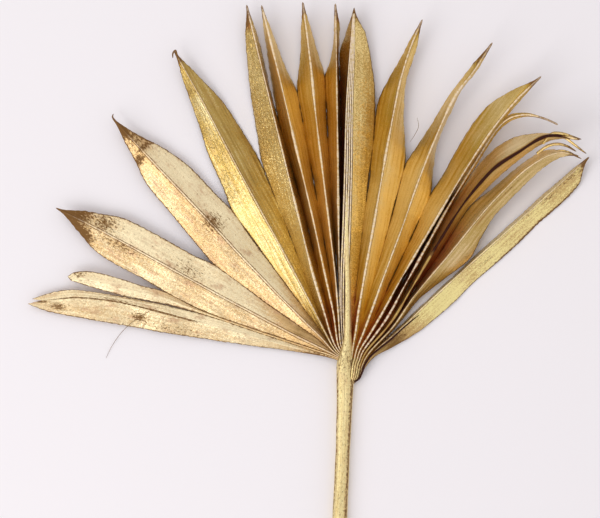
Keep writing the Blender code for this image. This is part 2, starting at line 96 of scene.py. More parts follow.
# Each segment's rib from head to tip, then its left and right margins past their seams.
SEGMENTS = [
    {
        "rib": [(10, 150.2, 4.8), (15, 155.6, 4.3), (30, 160.9, 3.8), (50, 162.6, 4.0),
                (75, 163.4, 4.4), (110, 163.9, 4.6), (136, 165.4, 4.6), (151, 167.3, 4.6),
                (162, 168.6, 4.6)],
        "left": [(10, 153.5, 4.0), (15, 158.5, 3.2), (25, 163.5, 2.2), (42, 167.2, 1.9),
                 (71, 169.1, 2.4), (100, 169.6, 2.6), (150, 169.7, 3.0), (162, 168.9, 4.2)],
        "right": [(95, 161.4, 3.4), (122, 163.0, 3.4), (141, 164.3, 3.4), (149, 165.4, 3.4),
                  (162, 168.3, 4.2)],
    },
    {
        "rib": [(10, 144.5, 4.6), (15, 151.6, 4.1), (30, 156.7, 3.4), (50, 158.7, 3.4),
                (77, 159.5, 3.9), (97, 159.4, 4.6), (115, 160.6, 5.2), (135, 161.3, 5.6),
                (146, 162.1, 5.6)],
        "left": [(95, 161.0, 4.0), (115, 162.4, 4.4), (133, 162.8, 4.8), (146, 162.7, 5.2)],
        "right": [(110, 158.5, 4.4), (128, 159.1, 4.8), (140, 160.1, 5.0), (146, 161.6, 5.2)],
    },
    {
        "rib": [(10, 138.8, 4.9), (15, 144.5, 4.4), (30, 149.2, 4.0), (50, 150.3, 4.6),
                (75, 150.8, 5.6), (115, 150.9, 6.4), (135, 151.0, 6.4), (165, 151.4, 6.4)],
        "left": [(107, 156.9, 3.8), (133, 155.8, 4.0), (141, 154.9, 4.2), (150, 153.2, 4.6),
                 (165, 151.6, 6.2)],
        "right": [(93, 143.9, 3.8), (115, 145.2, 4.0), (134, 146.4, 4.0), (142, 147.8, 4.2),
                  (165, 151.2, 6.2)],
    },
    {
        "rib": [(10, 132.5, 5.0), (15, 130.8, 4.7), (30, 132.9, 4.6), (50, 133.5, 5.4),
                (75, 133.6, 6.4), (95, 133.4, 6.8), (140, 133.4, 7.0), (170, 133.3, 7.0)],
        "left": [(92, 141.4, 3.8), (115, 139.0, 3.6), (136, 137.5, 3.4), (146, 135.9, 4.0),
                 (170, 133.5, 6.7)],
        "right": [(105, 127.0, 2.2), (125, 128.0, 2.4), (141, 129.8, 2.8), (156, 132.0, 4.4),
                  (170, 133.0, 6.7)],
    },
    {
        "rib": [(10, 126.0, 5.0), (15, 123.2, 4.8), (30, 119.9, 5.2), (50, 118.9, 6.2),
                (75, 118.7, 7.4), (110, 118.7, 8.0), (150, 118.5, 7.0), (179, 118.6, 6.0)],
        "left": [(105, 124.9, 2.0), (125, 123.2, 1.8), (141, 121.4, 2.2), (160, 120.0, 3.4),
                 (179, 118.8, 5.7)],
        "right": [(125, 113.7, 0.4), (143, 114.8, 1.4), (162, 116.9, 3.4), (179, 118.3, 5.7)],
    },
    {
        "rib": [(10, 119.5, 5.0), (15, 117.2, 4.9), (28, 112.2, 5.6), (50, 109.7, 7.6),
                (75, 107.8, 9.8), (110, 106.5, 10.6), (150, 105.8, 9.4), (187, 105.4, 7.0)],
        "left": [(121, 111.2, 0.5), (140, 109.6, 1.4), (160, 108.0, 3.2), (187, 105.7, 6.7)],
        "right": [(140, 105.3, 0.9), (160, 105.0, 2.6), (187, 105.2, 6.7)],
    },
    {
        "rib": [(10, 112.5, 5.0), (15, 108.0, 4.9), (28, 103.2, 5.8), (50, 102.9, 8.0),
                (75, 102.7, 11.0), (110, 102.9, 11.6), (150, 103.0, 10.4), (185, 103.2, 7.0)],
        "left": [(140, 105.0, 0.9), (152, 104.5, 1.8), (165, 103.9, 3.6), (185, 103.5, 6.7)],
        "right": [(146, 100.9, 0.9), (153, 101.6, 1.8), (165, 102.3, 3.6), (185, 103.0, 6.7)],
    },
    {
        "rib": [(10, 106.0, 5.0), (15, 101.8, 4.9), (28, 98.0, 5.8), (50, 96.7, 8.0), (75, 96.8, 11.0),
                (121, 96.9, 11.6), (155, 96.7, 10.0), (183, 96.8, 7.0)],
        "left": [(147, 99.2, 0.9), (154, 98.5, 1.8), (165, 97.8, 3.6), (183, 97.1, 6.7)],
        "right": [(152, 94.7, 0.9), (159, 95.3, 1.8), (168, 95.9, 3.6), (183, 96.5, 6.7)],
    },
    {
        "rib": [(10, 99.5, 5.0), (15, 97.0, 4.9), (30, 95.6, 5.8), (50, 93.9, 8.0), (75, 92.9, 11.0),
                (108, 92.2, 11.6), (152, 91.8, 10.0), (181, 91.7, 7.0)],
        "left": [(152, 93.1, 1.4), (161, 92.3, 3.0), (172, 92.0, 4.6), (181, 92.0, 6.7)],
        "right": [(163, 91.1, 1.8), (170, 91.0, 3.6), (181, 91.4, 6.7)],
    },
    {
        "rib": [(10, 89.5, 5.2), (15, 89.3, 5.2), (30, 89.4, 6.2), (50, 89.7, 8.0), (75, 89.8, 10.4),
                (115, 89.6, 11.0), (150, 89.2, 9.8), (179, 88.7, 7.0)],
        "left": [(164, 90.2, 2.4), (172, 89.6, 4.6), (179, 89.0, 6.7)],
        "right": [(136, 83.9, 3.0), (153, 85.3, 3.6), (170, 87.1, 5.0), (179, 88.4, 6.7)],
    },
    {
        "rib": [(10, 70.0, 5.0), (15, 73.2, 4.9), (28, 77.2, 6.2), (46, 78.5, 8.8), (75, 79.0, 12.0),
                (110, 79.4, 13.4), (140, 79.3, 12.4), (160, 78.7, 11.6), (177, 77.6, 12.0)],
        "left": [(140, 82.2, 4.0), (156, 80.0, 6.6), (166, 78.9, 9.0), (177, 77.9, 11.7)],
        "right": [(115, 75.2, 4.2), (132, 77.4, 6.0), (146, 78.2, 8.0), (158, 77.6, 8.6),
                  (177, 77.3, 11.7)],
    },
    {
        "rib": [(10, 59.0, 5.0), (15, 61.2, 4.9), (30, 65.2, 6.4), (50, 67.2, 9.2), (75, 68.0, 12.6),
                (102, 68.7, 14.0), (130, 68.5, 14.0), (146, 68.0, 14.0), (160, 66.6, 14.4),
                (177, 65.7, 16.0)],
        "left": [(112, 72.5, 4.4), (132, 70.2, 6.4), (150, 68.5, 9.4), (177, 66.0, 15.7)],
        "right": [(106, 65.9, 5.0), (120, 67.8, 6.4), (146, 67.6, 9.4), (160, 66.2, 11.6),
                  (177, 65.4, 15.7)],
    },
    {
        "rib": [(10, 50.0, 5.0), (15, 52.0, 4.9), (30, 55.4, 6.4), (50, 57.7, 9.4), (75, 58.4, 13.2),
                (105, 58.7, 15.4), (135, 58.3, 16.4), (156, 57.4, 17.4), (174, 56.1, 20.0)],
        "left": [(105, 63.2, 5.0), (130, 62.7, 8.0), (147, 61.6, 10.6), (160, 59.0, 14.6),
                 (174, 56.4, 19.7)],
        "right": [(115, 58.2, 10.2), (135, 57.9, 12.6), (148, 57.3, 14.6), (162, 56.6, 16.4),
                  (174, 55.8, 19.7)],
    },
    {
        "rib": [(10, 41.0, 5.0), (15, 45.0, 4.9), (30, 49.2, 6.2), (50, 54.0, 9.2), (75, 56.4, 11.2),
                (96, 57.4, 9.6), (118, 57.6, 9.2), (137, 57.7, 10.4), (146, 57.1, 13.0),
                (150, 56.2, 15.6), (155, 54.1, 18.8), (158, 51.6, 21.0), (160, 48.8, 22.0)],
        "left": [(118, 58.1, 8.0), (137, 58.1, 9.2), (147, 57.6, 12.2), (155, 54.7, 18.0),
                 (160, 49.1, 21.6)],
        "right": [(118, 57.1, 8.0), (137, 57.2, 9.2), (146, 56.4, 12.2), (155, 53.6, 18.0),
                  (160, 48.5, 21.6)],
    },
    {
        "rib": [(10, 32.0, 5.0), (15, 39.0, 4.9), (30, 43.8, 6.2), (50, 49.8, 8.8), (75, 53.1, 11.0),
                (100, 54.1, 13.0), (120, 53.5, 15.6), (138, 51.0, 19.0), (152, 49.1, 22.0),
                (162, 44.2, 24.0)],
        "left": [(112, 57.0, 6.2), (125, 56.2, 8.6), (140, 54.2, 13.6), (151, 50.3, 19.0),
                 (162, 44.5, 23.7)],
        "right": [(115, 51.6, 9.2), (135, 50.0, 14.2), (152, 47.9, 19.0), (162, 43.9, 23.7)],
    },
    {
        "rib": [(10, 22.0, 5.0), (15, 33.0, 4.9), (30, 39.6, 6.0), (50, 46.0, 8.2), (75, 47.3, 10.4),
                (105, 48.3, 13.2), (128, 47.9, 16.6), (143, 46.6, 19.6), (151, 45.0, 21.0),
                (156, 42.2, 21.6)],
        "left": [(115, 50.4, 8.0), (135, 48.9, 12.6), (147, 47.3, 17.0), (156, 42.6, 21.3)],
        "right": [(30, 37.4, 3.4), (50, 42.6, 4.0), (66, 41.6, 4.2), (80, 40.7, 4.4), (92, 43.4, 6.6),
                  (108, 45.5, 9.4), (130, 45.5, 13.6), (147, 44.6, 18.0), (156, 41.8, 21.3)],
    },
    {
        "rib": [(10, 9.0, 5.0), (15, 26.0, 4.9), (23, 31.6, 5.4), (35, 34.9, 6.0), (50, 37.8, 7.0),
                (75, 39.3, 8.2), (102, 40.0, 8.2), (130, 40.4, 7.6), (160, 40.7, 6.6)],
        "left": [(30, 35.6, 2.6), (50, 38.8, 1.6), (75, 40.1, 1.0), (102, 40.7, 0.8), (145, 41.0, 2.4),
                 (160, 41.0, 6.3)],
        "right": [(10, 2.5, 4.0), (15, 19.5, 3.2), (24, 22.0, 2.4), (39, 24.9, 1.6), (50, 28.0, 1.2),
                  (64, 31.1, 1.0), (80, 33.5, 0.8), (117, 36.3, 0.5), (145, 37.7, 1.4),
                  (160, 40.4, 6.3)],
    },
]


# ---------------------------------------------------------------------------------------------------------
# Shape
# ---------------------------------------------------------------------------------------------------------

ROWS = 250  # points along a segment
HALF_COLUMNS = 22  # faces from the rib to a margin
COLUMN_CROWDING = 1.35  # above 1, columns stand closer together beside the rib
NEEDLE = 13.0  # mm over which a segment's tip draws to a point
SOFTENING = 2.6  # mm over which the corners of a margin or rib are rounded
NECK_ROWS = 40  # points of the straight neck from a root to the head's edge
UV_LENGTH = 100.0  # mm of surface to a unit of the UV map
MARGIN_FINENESS = 4  # points worked out on a rib or margin for each one that is kept
LINE_FINENESS = 8  # the same for a band's or a strand's line

# Where ribs and margins are rooted: the angle at which one leaves the head, the root's x and y in mm, and how
# far it rises over where it leaves.
ROOTS = [
    (2.5, 6.6, -5.6, -0.6), (9.0, 7.2, -3.6, -0.4), (22.0, 7.4, -1.8, -0.2), (32.0, 6.9, -0.4, 0.0),
    (41.0, 6.2, 0.7, 0.2), (50.0, 5.2, 1.7, 0.3), (59.0, 4.0, 2.8, 0.4), (70.0, 2.8, 4.2, 0.5),
    (90.0, 0.8, 4.8, 0.6), (120.0, -1.2, 4.6, 0.5), (138.0, -2.6, 3.9, 0.4), (153.5, -3.4, 2.8, 0.3),
]


def cubic(t, width, starts, ends, leaving, arriving):
    """Cubic spans at the share t of their widths, from their ends and the slopes there."""
    return (
        (2 * t**3 - 3 * t**2 + 1) * starts
        + (t**3 - 2 * t**2 + t) * width * leaving
        + (3 * t**2 - 2 * t**3) * ends
        + (t**3 - t**2) * width * arriving
    )


def smooth_curve(points, radii):
    """Angle and height at each radius, on the curve through (radius, angle, height) points.

    Each span is a cubic. Its slope at a point is the harmonic mean of the slopes to both sides, or level
    where they differ in sign, so the curve never swings past its points.
    """
    table = np.array(points, dtype=float)
    knots = table[:, 0]
    steps = np.diff(knots)[:, None]
    slopes = np.diff(table[:, 1:], axis=0) / steps
    before, after = slopes[:-1], slopes[1:]
    same_way = before * after > 0
    total = np.where(same_way, before + after, 1.0)
    inner = np.where(same_way, 2.0 * before * after / total, 0.0)
    tangents = np.vstack([slopes[:1], inner, slopes[-1:]])
    at = np.clip(np.searchsorted(knots, radii, side="right") - 1, 0, len(knots) - 2)
    width = steps[at]
    t = (radii - knots[at])[:, None] / width
    return cubic(t, width, table[at, 1:], table[at + 1, 1:], tangents[at], tangents[at + 1])


def to_points(radii, curve):
    """Points in mm from radii, angles in degrees and heights."""
    turn = np.radians(curve[:, 0])
    return np.stack([radii * np.cos(turn), radii * np.sin(turn), curve[:, 1]], axis=1)


def along(points):
    """The length walked along a line of points, at each point."""
    steps = np.linalg.norm(np.diff(points, axis=0), axis=1)
    return np.concatenate([[0.0], np.cumsum(steps)])


def soften(points, reach):
    """A line with its corners rounded: each point becomes a bell-weighted mean of those within the reach.

    The line is first carried on past both ends by turning it about its end points, so the ends stay put.
    """
    walked = along(points)
    spacing = walked[-1] / (len(points) - 1)
    count = max(2, int(3.0 * reach / spacing))
    bell = np.exp(-0.5 * (np.arange(-count, count + 1) * spacing / reach) ** 2)
    bell /= bell.sum()
    before = 2.0 * points[0] - points[count:0:-1]
    after = 2.0 * points[-1] - points[-2 : -count - 2 : -1]
    longer = np.vstack([before, points, after])
    return np.stack([np.convolve(longer[:, k], bell, mode="valid") for k in range(3)], axis=1)


def root_point(start):
    """Where a rib or margin is rooted in the head, from its first point at the head's edge.

    The roots stand in one curve round the head, in the order of the angles, and that curve is read straight
    between the ROOTS.
    """
    table = np.array(ROOTS)
    x, y, rise = (np.interp(start[1], table[:, 0], table[:, k]) for k in (1, 2, 3))
    return np.array([x, y, start[2] + rise])


def margin_line(points, last_radius):
    """One rib or margin as ROWS points in mm: straight from its root, then its curve, even and soft."""
    fine = np.linspace(points[0][0], last_radius, MARGIN_FINENESS * ROWS)
    line = to_points(fine, smooth_curve(points, fine))
    root = root_point(points[0])
    neck = root + np.linspace(0.0, 1.0, NECK_ROWS)[:-1, None] * (line[0] - root)
    whole = np.vstack([neck, line])
    walked = along(whole)
    even = np.linspace(0.0, walked[-1], ROWS)
    return soften(np.stack([np.interp(even, walked, whole[:, k]) for k in range(3)], axis=1), SOFTENING)


def ripple(x, y, wavelength, seed, waves=7):
    """A smooth field between about -1 and 1: the mean of a few plane waves of seeded direction and phase."""
    dice = np.random.default_rng(seed)
    field = np.zeros(np.broadcast(x, y).shape)
    for _ in range(waves):
        heading, phase, stretch = dice.uniform(0.0, 2.0 * math.pi, 2).tolist() + [dice.uniform(0.7, 1.5)]
        pace = 2.0 * math.pi / (wavelength * stretch)
        field = field + np.sin(pace * (x * math.cos(heading) + y * math.sin(heading)) + phase)
    return field * 1.7 / waves


def surface_normals(grid):
    """The unit normal at every point of a grid of points, from the differences along its rows and columns."""
    down = np.gradient(grid, axis=0)
    side = np.gradient(grid, axis=1)
    normal = np.cross(side, down)
    return normal / np.maximum(np.linalg.norm(normal, axis=2, keepdims=True), 1e-9)


def bump(distance, reach):
    """A bell of height 1 over a distance of 0."""
    return np.exp(-((distance / reach) ** 2))


def step(value, start, end):
    """0 before start, 1 after end, and an S-curve between them."""
    t = np.clip((value - start) / (end - start), 0.0, 1.0)
    return t * t * (3.0 - 2.0 * t)


def grid_mesh(name, grid, uv, finish, tone):
    """A mesh in metres from a grid of points in mm, with its UV map and finish attribute.

    finish holds how worn light a point is, how close to the margin and how brown, and the last argument the
    tone: how deep its paint is, together with painted light and shade.
    """
    rows, columns = grid.shape[:2]
    index = np.arange(rows * columns).reshape(rows, columns)
    quads = np.stack([index[:-1, :-1], index[:-1, 1:], index[1:, 1:], index[1:, :-1]], axis=-1).reshape(-1, 4)
    mesh = bpy.data.meshes.new(name)
    mesh.vertices.add(rows * columns)
    mesh.vertices.foreach_set("co", (grid * MM).astype(np.float32).ravel())
    mesh.loops.add(quads.size)
    mesh.loops.foreach_set("vertex_index", quads.astype(np.int32).ravel())
    mesh.polygons.add(len(quads))
    mesh.polygons.foreach_set("loop_start", np.arange(0, quads.size, 4, dtype=np.int32))
    mesh.polygons.foreach_set("use_smooth", np.ones(len(quads), dtype=bool))
    layer = mesh.uv_layers.new(name="blade")
    layer.data.foreach_set("uv", uv.reshape(-1, 2)[quads.ravel()].astype(np.float32).ravel())
    colours = mesh.color_attributes.new("finish", "FLOAT_COLOR", "POINT")
    four = np.concatenate([finish.reshape(-1, 3), tone.reshape(-1, 1)], axis=1)
    colours.data.foreach_set("color", four.astype(np.float32).ravel())
    mesh.update(calc_edges=True)
    mesh.validate()
    return mesh


# How each segment is finished. "paint" names its gold and "rib" its way of making a midrib. "left" and
# "right" give the tone of that half by (radius, at the rib, at the margin): 0 or less is pale, 1 deep, and 2
# the paint's dark colour, which is painted shade. The tone is partly the paint's own thick and thin places
# and
# partly painted light and shade: a half that faces the lamps is paler, a half turned away from them is
# darker, the folds near the head and between the raised ribs are painted dark as shade, and some of the
# lowest values are painted highlights. "last" gives the end radii of its left margin, rib and right margin
# where its tip is split. A blotch is a brown stain: its radius, its place from -1 at the left margin to 1 at
# the right, its length and width in mm, and its strength. "dark_tip" is the length of the brown tip in mm,
# and
# "needle" the length over which the tip draws to a point, where it isn't the usual one.
LOOKS = [
    {"paint": "champagne", "rib": "crease", "dark_tip": 0.0, "last": (162.0, 154.5, 160.3),
     "left": [(8, 1.0, 1.0), (30, 0.5, 0.7), (60, 0.45, 0.55), (162, 0.2, 0.3)],
     "right": [(8, 0.9, 0.9), (28, -0.5, -0.4), (85, 0.0, 0.1), (115, 0.3, 0.4), (162, 0.2, 0.3)],
     "blotches": [(147, -0.6, 5, 3, 0.42), (157, -0.3, 5, 2, 0.6), (106, -0.5, 5, 3, 0.4),
                  (88, -0.7, 14, 3, 0.2), (120, 0.1, 12, 2, 0.3), (15, -0.6, 9, 1.2, 0.5)]},
    {"paint": "champagne", "rib": "faint", "dark_tip": 0.0, "needle": 2.5,
     "left": [(8, 0.8, 0.9), (97, 0.1, 0.3), (146, 0.0, 0.0)],
     "right": [(8, 0.8, 0.9), (77, 0.5, 0.7), (97, 0.5, 0.8), (115, 0.1, 0.1), (146, 0.0, 0.1)],
     "blotches": [(141, 0.5, 3, 2, 0.3)]},
    {"paint": "champagne", "rib": "double", "dark_tip": 17.0,
     "left": [(8, 1.2, 1.3), (32, 0.9, 1.0), (60, 0.45, 0.55), (90, 0.55, 0.7), (125, 0.65, 0.65),
              (150, 0.7, 0.7)],
     "right": [(8, 1.5, 1.6), (30, 1.5, 1.6), (44, 0.4, 1.2), (60, -0.3, 0.0), (125, -0.1, 0.1),
               (150, 0.6, 0.6)],
     "blotches": [(140, 0.5, 7, 5, 0.4), (128, -0.2, 12, 3, 0.3), (92, 0.3, 10, 4, 0.25)]},
    {"paint": "champagne", "rib": "double", "dark_tip": 5.0,
     "left": [(8, 1.3, 1.4), (26, 0.9, 1.2), (44, 0.65, 1.0), (90, 0.6, 0.85), (125, 0.85, 0.95),
              (145, 1.1, 0.9), (154, 0.7, 0.6), (170, 0.9, 0.7)],
     "right": [(8, 1.5, 1.6), (30, 1.5, 1.7), (46, 0.2, 1.1), (62, -0.5, 0.2), (96, -0.5, 0.0),
               (120, -0.2, 0.0), (144, 0.0, 0.1), (150, 0.6, 0.7), (170, 0.8, 0.8)],
     "blotches": [(98, 0.1, 6, 5, 0.42), (158, 0.6, 10, 9, 0.36), (149, 0.5, 2, 7, 0.5),
                  (146, -0.7, 3, 4, 0.5)]},
    {"paint": "bright", "rib": "double", "dark_tip": 5.0,
     "left": [(8, 1.2, 1.3), (28, 1.2, 1.3), (42, 0.5, 0.9), (60, 0.65, 0.75), (95, 0.65, 0.85),
              (122, 0.9, 1.0), (150, 0.6, 0.8), (160, 0.9, 1.0), (179, 1.1, 1.1)],
     "right": [(8, 1.2, 1.3), (60, 1.0, 0.9), (100, 1.15, 0.9), (125, 1.15, 1.1), (179, 1.2, 1.2)],
     "blotches": [(157, -0.5, 3, 4, 0.4)]},
    {"paint": "glitter", "rib": "white", "dark_tip": 6.0,
     "left": [(8, 1.3, 1.3), (30, 1.1, 1.1), (52, 0.0, 0.0), (80, 0.1, -0.1), (95, 0.3, 0.2), (120, 0.5, 0.3),
              (152, 0.6, 0.6), (168, 0.9, 1.0), (187, 1.2, 1.2)],
     "right": [(8, 1.3, 1.5), (30, 1.1, 1.5), (60, 0.5, 1.3), (90, 0.8, 1.3), (112, 0.5, 0.9),
               (135, 0.6, 0.7), (187, 0.8, 0.8)]},
    {"paint": "amber", "rib": "white", "dark_tip": 3.0,
     "left": [(8, 1.3, 1.5), (30, 1.5, 1.7), (60, 0.2, 0.6), (90, 0.4, 0.9), (115, 0.8, 1.0),
              (150, -0.2, -0.5), (185, 0.5, 0.1)],
     "right": [(8, 1.3, 1.4), (30, 1.1, 1.2), (60, 0.4, 0.7), (90, 0.4, 0.7), (120, 0.0, 0.4),
               (150, 0.4, 0.2), (185, 0.5, 0.2)]},
    {"paint": "amber", "rib": "white", "dark_tip": 4.0,
     "left": [(8, 1.2, 1.4), (60, 0.0, 0.3), (90, 0.3, 0.5), (120, 0.6, 0.7), (150, 0.9, 0.8),
              (183, 0.6, 0.1)],
     "right": [(8, 1.3, 1.5), (60, 0.3, 0.7), (90, 0.3, 0.6), (120, 0.4, 0.7), (152, 0.5, 0.3),
               (183, 0.5, 0.2)]},
    {"paint": "amber", "rib": "white", "dark_tip": 5.0,
     "left": [(8, 1.2, 1.3), (60, 0.1, 0.3), (90, 0.0, 0.3), (120, 0.4, 0.5), (150, 0.9, 0.9),
              (181, 0.7, 0.4)],
     "right": [(8, 1.5, 1.7), (60, 1.3, 1.6), (110, 1.3, 1.6), (157, 1.1, 1.3), (168, 0.9, 1.0),
               (181, 1.2, 1.2)]},
    {"paint": "glitter", "rib": "faint", "dark_tip": 5.0,
     "left": [(8, 1.5, 1.7), (90, 1.5, 1.6), (135, 1.4, 1.4), (150, 1.0, 1.0), (165, 0.9, 0.7),
              (179, 1.2, 1.2)],
     "right": [(8, 0.9, 1.3), (30, -0.5, 0.4), (60, 0.5, 1.1), (90, 0.0, 0.8), (120, 0.3, 1.1),
               (150, 0.2, 0.9), (168, 0.2, 0.6), (179, 0.6, 0.8)]},
    {"paint": "amber", "rib": "white", "dark_tip": 4.0,
     "left": [(8, 1.4, 1.6), (30, 1.5, 1.7), (60, 0.3, 0.7), (90, 0.1, 0.6), (120, 1.0, 1.1), (150, 0.9, 0.8),
              (177, 0.5, 0.4)],
     "right": [(8, 1.2, 1.4), (30, 0.8, 1.1), (60, -0.3, 0.3), (90, -0.8, 0.2), (105, 0.0, 0.5),
               (120, 0.4, 0.3), (177, 0.4, 0.3)]},
    {"paint": "amber", "rib": "white", "dark_tip": 5.0,
     "left": [(8, 1.4, 1.6), (30, 1.2, 1.4), (60, 0.0, 0.6), (90, -0.4, 0.3), (120, 0.8, 0.9),
              (150, 0.5, 0.3), (177, 0.5, 0.3)],
     "right": [(8, 1.3, 1.5), (30, 0.8, 1.2), (60, -0.4, 0.2), (90, -0.1, 0.1), (112, 0.2, 0.1),
               (177, 0.5, 0.4)]},
    {"paint": "amber", "rib": "white", "dark_tip": 4.0,
     "left": [(8, 1.5, 1.7), (30, 1.7, 1.9), (60, 0.5, 0.9), (90, 0.0, 0.4), (120, 0.8, 0.9), (150, 0.5, 0.4),
              (174, 0.8, 0.8)],
     "right": [(8, 1.4, 1.6), (30, 1.1, 1.5), (60, 1.2, 1.6), (90, 1.1, 1.6), (120, 0.8, 1.1),
               (174, 0.8, 0.8)]},
    {"paint": "amber", "rib": "white", "dark_tip": 6.0,
     "left": [(8, 1.6, 1.8), (30, 1.9, 2.0), (60, 1.7, 1.9), (90, 1.1, 1.6), (112, 0.8, 0.9),
              (160, 0.8, 0.8)],
     "right": [(8, 1.5, 1.7), (60, 1.4, 1.7), (90, 1.3, 1.7), (112, 1.0, 1.0), (160, 0.8, 0.8)]},
    {"paint": "olive", "rib": "brown", "dark_tip": 3.0,
     "left": [(8, 1.2, 1.4), (30, 0.8, 1.1), (60, 0.5, 0.8), (90, 0.6, 0.7), (120, 0.4, 0.5),
              (150, -0.3, -0.3)],
     "right": [(8, 1.5, 1.7), (30, 1.5, 1.8), (60, 1.8, 2.0), (85, 1.4, 1.6), (100, 0.8, 0.9),
               (120, 0.3, 0.3), (162, 0.6, 0.6)]},
    {"paint": "olive", "rib": "double", "dark_tip": 3.0,
     "left": [(8, 1.2, 1.4), (30, 0.8, 1.1), (60, 0.5, 0.9), (90, 0.2, 0.5), (120, 0.4, 0.6),
              (156, 0.4, 0.4)],
     "right": [(8, 1.2, 1.4), (30, 1.1, 1.3), (58, 1.0, 1.1), (66, 0.9, 0.9), (74, 0.6, 0.1), (84, 0.7, 0.3),
               (95, 1.0, 1.0), (120, 0.8, 0.7), (156, 0.5, 0.5)],
     "blotches": [(98, -0.3, 30, 1.2, 0.4), (118, 0.3, 24, 1.0, 0.4), (60, 0.7, 8, 3, 0.3)]},
    {"paint": "speckled", "rib": "double", "dark_tip": 3.0,
     "left": [(8, 1.2, 1.5), (30, 0.9, 1.3), (60, 0.5, 0.8), (100, 0.4, 0.9), (160, 0.5, 0.9)],
     "right": [(8, 1.5, 1.6), (28, 1.6, 1.6), (42, 0.6, 1.0), (52, -0.3, 0.1), (66, -0.2, 0.1),
               (78, 0.5, 0.6), (92, -0.1, 0.1), (108, 0.4, 0.6), (125, 0.2, 0.5),
               (140, 0.6, 0.7), (160, 0.3, 0.6)],
     "blotches": [(28, 0.4, 9, 4, 0.4), (132, 0.2, 7, 2, 0.35), (120, 0.95, 34, 0.8, 0.6),
                  (72, -0.7, 16, 1.5, 0.3), (88, 0.5, 6, 1.5, 0.3), (108, -0.4, 22, 1.0, 0.3),
                  (146, 0.2, 9, 1.6, 0.35), (118, 0.2, 5, 2.5, 0.25)]},
]

# Each way of making a midrib: the raised cord's height and half width, then the grooves beside it as
# (distance from the rib, depth, half width), the half width and strength of its worn light dots, its dark
# lines as (distance, half width, strength), how far its shade reaches and how deep it is, and the radius past
# which it shows. Lengths are in mm.
RIBS = {
    "crease": {"cord": (0.10, 0.5), "grooves": [(0.3, 0.20, 0.25)], "light": (0.3, 0.0),
               "dark": [(0.25, 0.24, 0.9)], "shade": (0.5, 0.0), "from": 74.0},
    "faint": {"cord": (0.08, 0.5), "grooves": [], "light": (0.3, 0.0),
              "dark": [], "shade": (0.5, 0.0), "from": 0.0},
    "double": {"cord": (0.26, 0.34), "grooves": [(0.60, 0.12, 0.22)], "light": (0.28, 0.6),
               "dark": [(0.52, 0.17, 0.85)], "shade": (0.5, 0.0), "from": 0.0},
    "white": {"cord": (0.38, 0.40), "grooves": [(0.80, 0.08, 0.3)], "light": (0.30, 1.0),
              "dark": [(0.66, 0.20, 1.15)], "shade": (0.9, 0.5), "from": 0.0},
    "brown": {"cord": (0.35, 0.9), "grooves": [(1.3, 0.10, 0.4)], "light": (0.3, 0.0),
              "dark": [(0.2, 0.62, 1.5)], "shade": (1.5, 1.8), "from": 66.0},
}

# Unevenness of a blade, each as (strength, wavelength in mm, seed). The swells are in mm and the same for all
# segments, so that neighbours rise and fall together. The others add the segment's index to the seed.
SWELLS = [(0.35, 26.0, 7), (0.10, 7.0, 11)]
VEIN_DRIFT = (1.3, 14.0, 40)  # mm to the side
MARGIN_WANDER = (0.16, 3.1, 90)  # mm outward
TIP_WANDER = (6.0, 9.0, 120)  # mm along, where the brown of a tip ends
TONE_DRIFT = (0.16, 9.0, 60)
MARGIN_WEAR = 0.42  # mm over which a margin is worn bare
WANDER_REACH = 0.8  # mm inward over which a margin's wandering dies out
LIFT = 0.05  # mm between the floor and the lowest leaf
TIP_BROWN = 0.8  # how brown a dark tip is


def across_shares(rounding):
    """How much of the way to the left and right margin each column goes, for each row's fold rounding.

    A share is half of (root(a squared + e squared) plus or minus a), where a runs from -1 to 1 across the
    segment and e is the rounding: the two straight halves joined by a hyperbola instead of a corner.
    """
    t = np.linspace(-1.0, 1.0, 2 * HALF_COLUMNS + 1)
    a = np.sign(t) * np.abs(t) ** COLUMN_CROWDING
    e = rounding[:, None]
    root = np.sqrt(a[None, :] ** 2 + e**2)
    top = np.sqrt(1.0 + e**2) + 1.0
    return a, (root - a) / top, (root + a) / top


def tone_of(looked, radius, share):
    """Tone and painted light, read straight between the radii and by the share of the way to the margin."""
    table = np.array(looked, dtype=float)
    at_rib = np.interp(radius, table[:, 0], table[:, 1])
    at_margin = np.interp(radius, table[:, 0], table[:, 2])
    return at_rib + (at_margin - at_rib) * share**1.3


def segment_lines(index):
    """A segment's left margin, rib and right margin as lines in mm, drawn to a needle at the tip."""
    segment = SEGMENTS[index]
    tip = segment["rib"][-1][0]
    last = LOOKS[index].get("last", (tip, tip, tip))
    left_seam = SEAMS[index - 1] if index > 0 else []
    right_seam = SEAMS[index] if index < len(SEAMS) else []
    rib = margin_line(segment["rib"], last[1])
    left = margin_line(left_seam + segment["left"], last[0])
    right = margin_line(right_seam + segment["right"], last[2])
    if "last" not in LOOKS[index]:
        to_tip = along(rib)[-1] - along(rib)
        share = np.clip(to_tip / LOOKS[index].get("needle", NEEDLE), 0.0, 1.0)[:, None] ** 0.55
        left = rib + (left - rib) * share
        right = rib + (right - rib) * share
    return left, rib, right


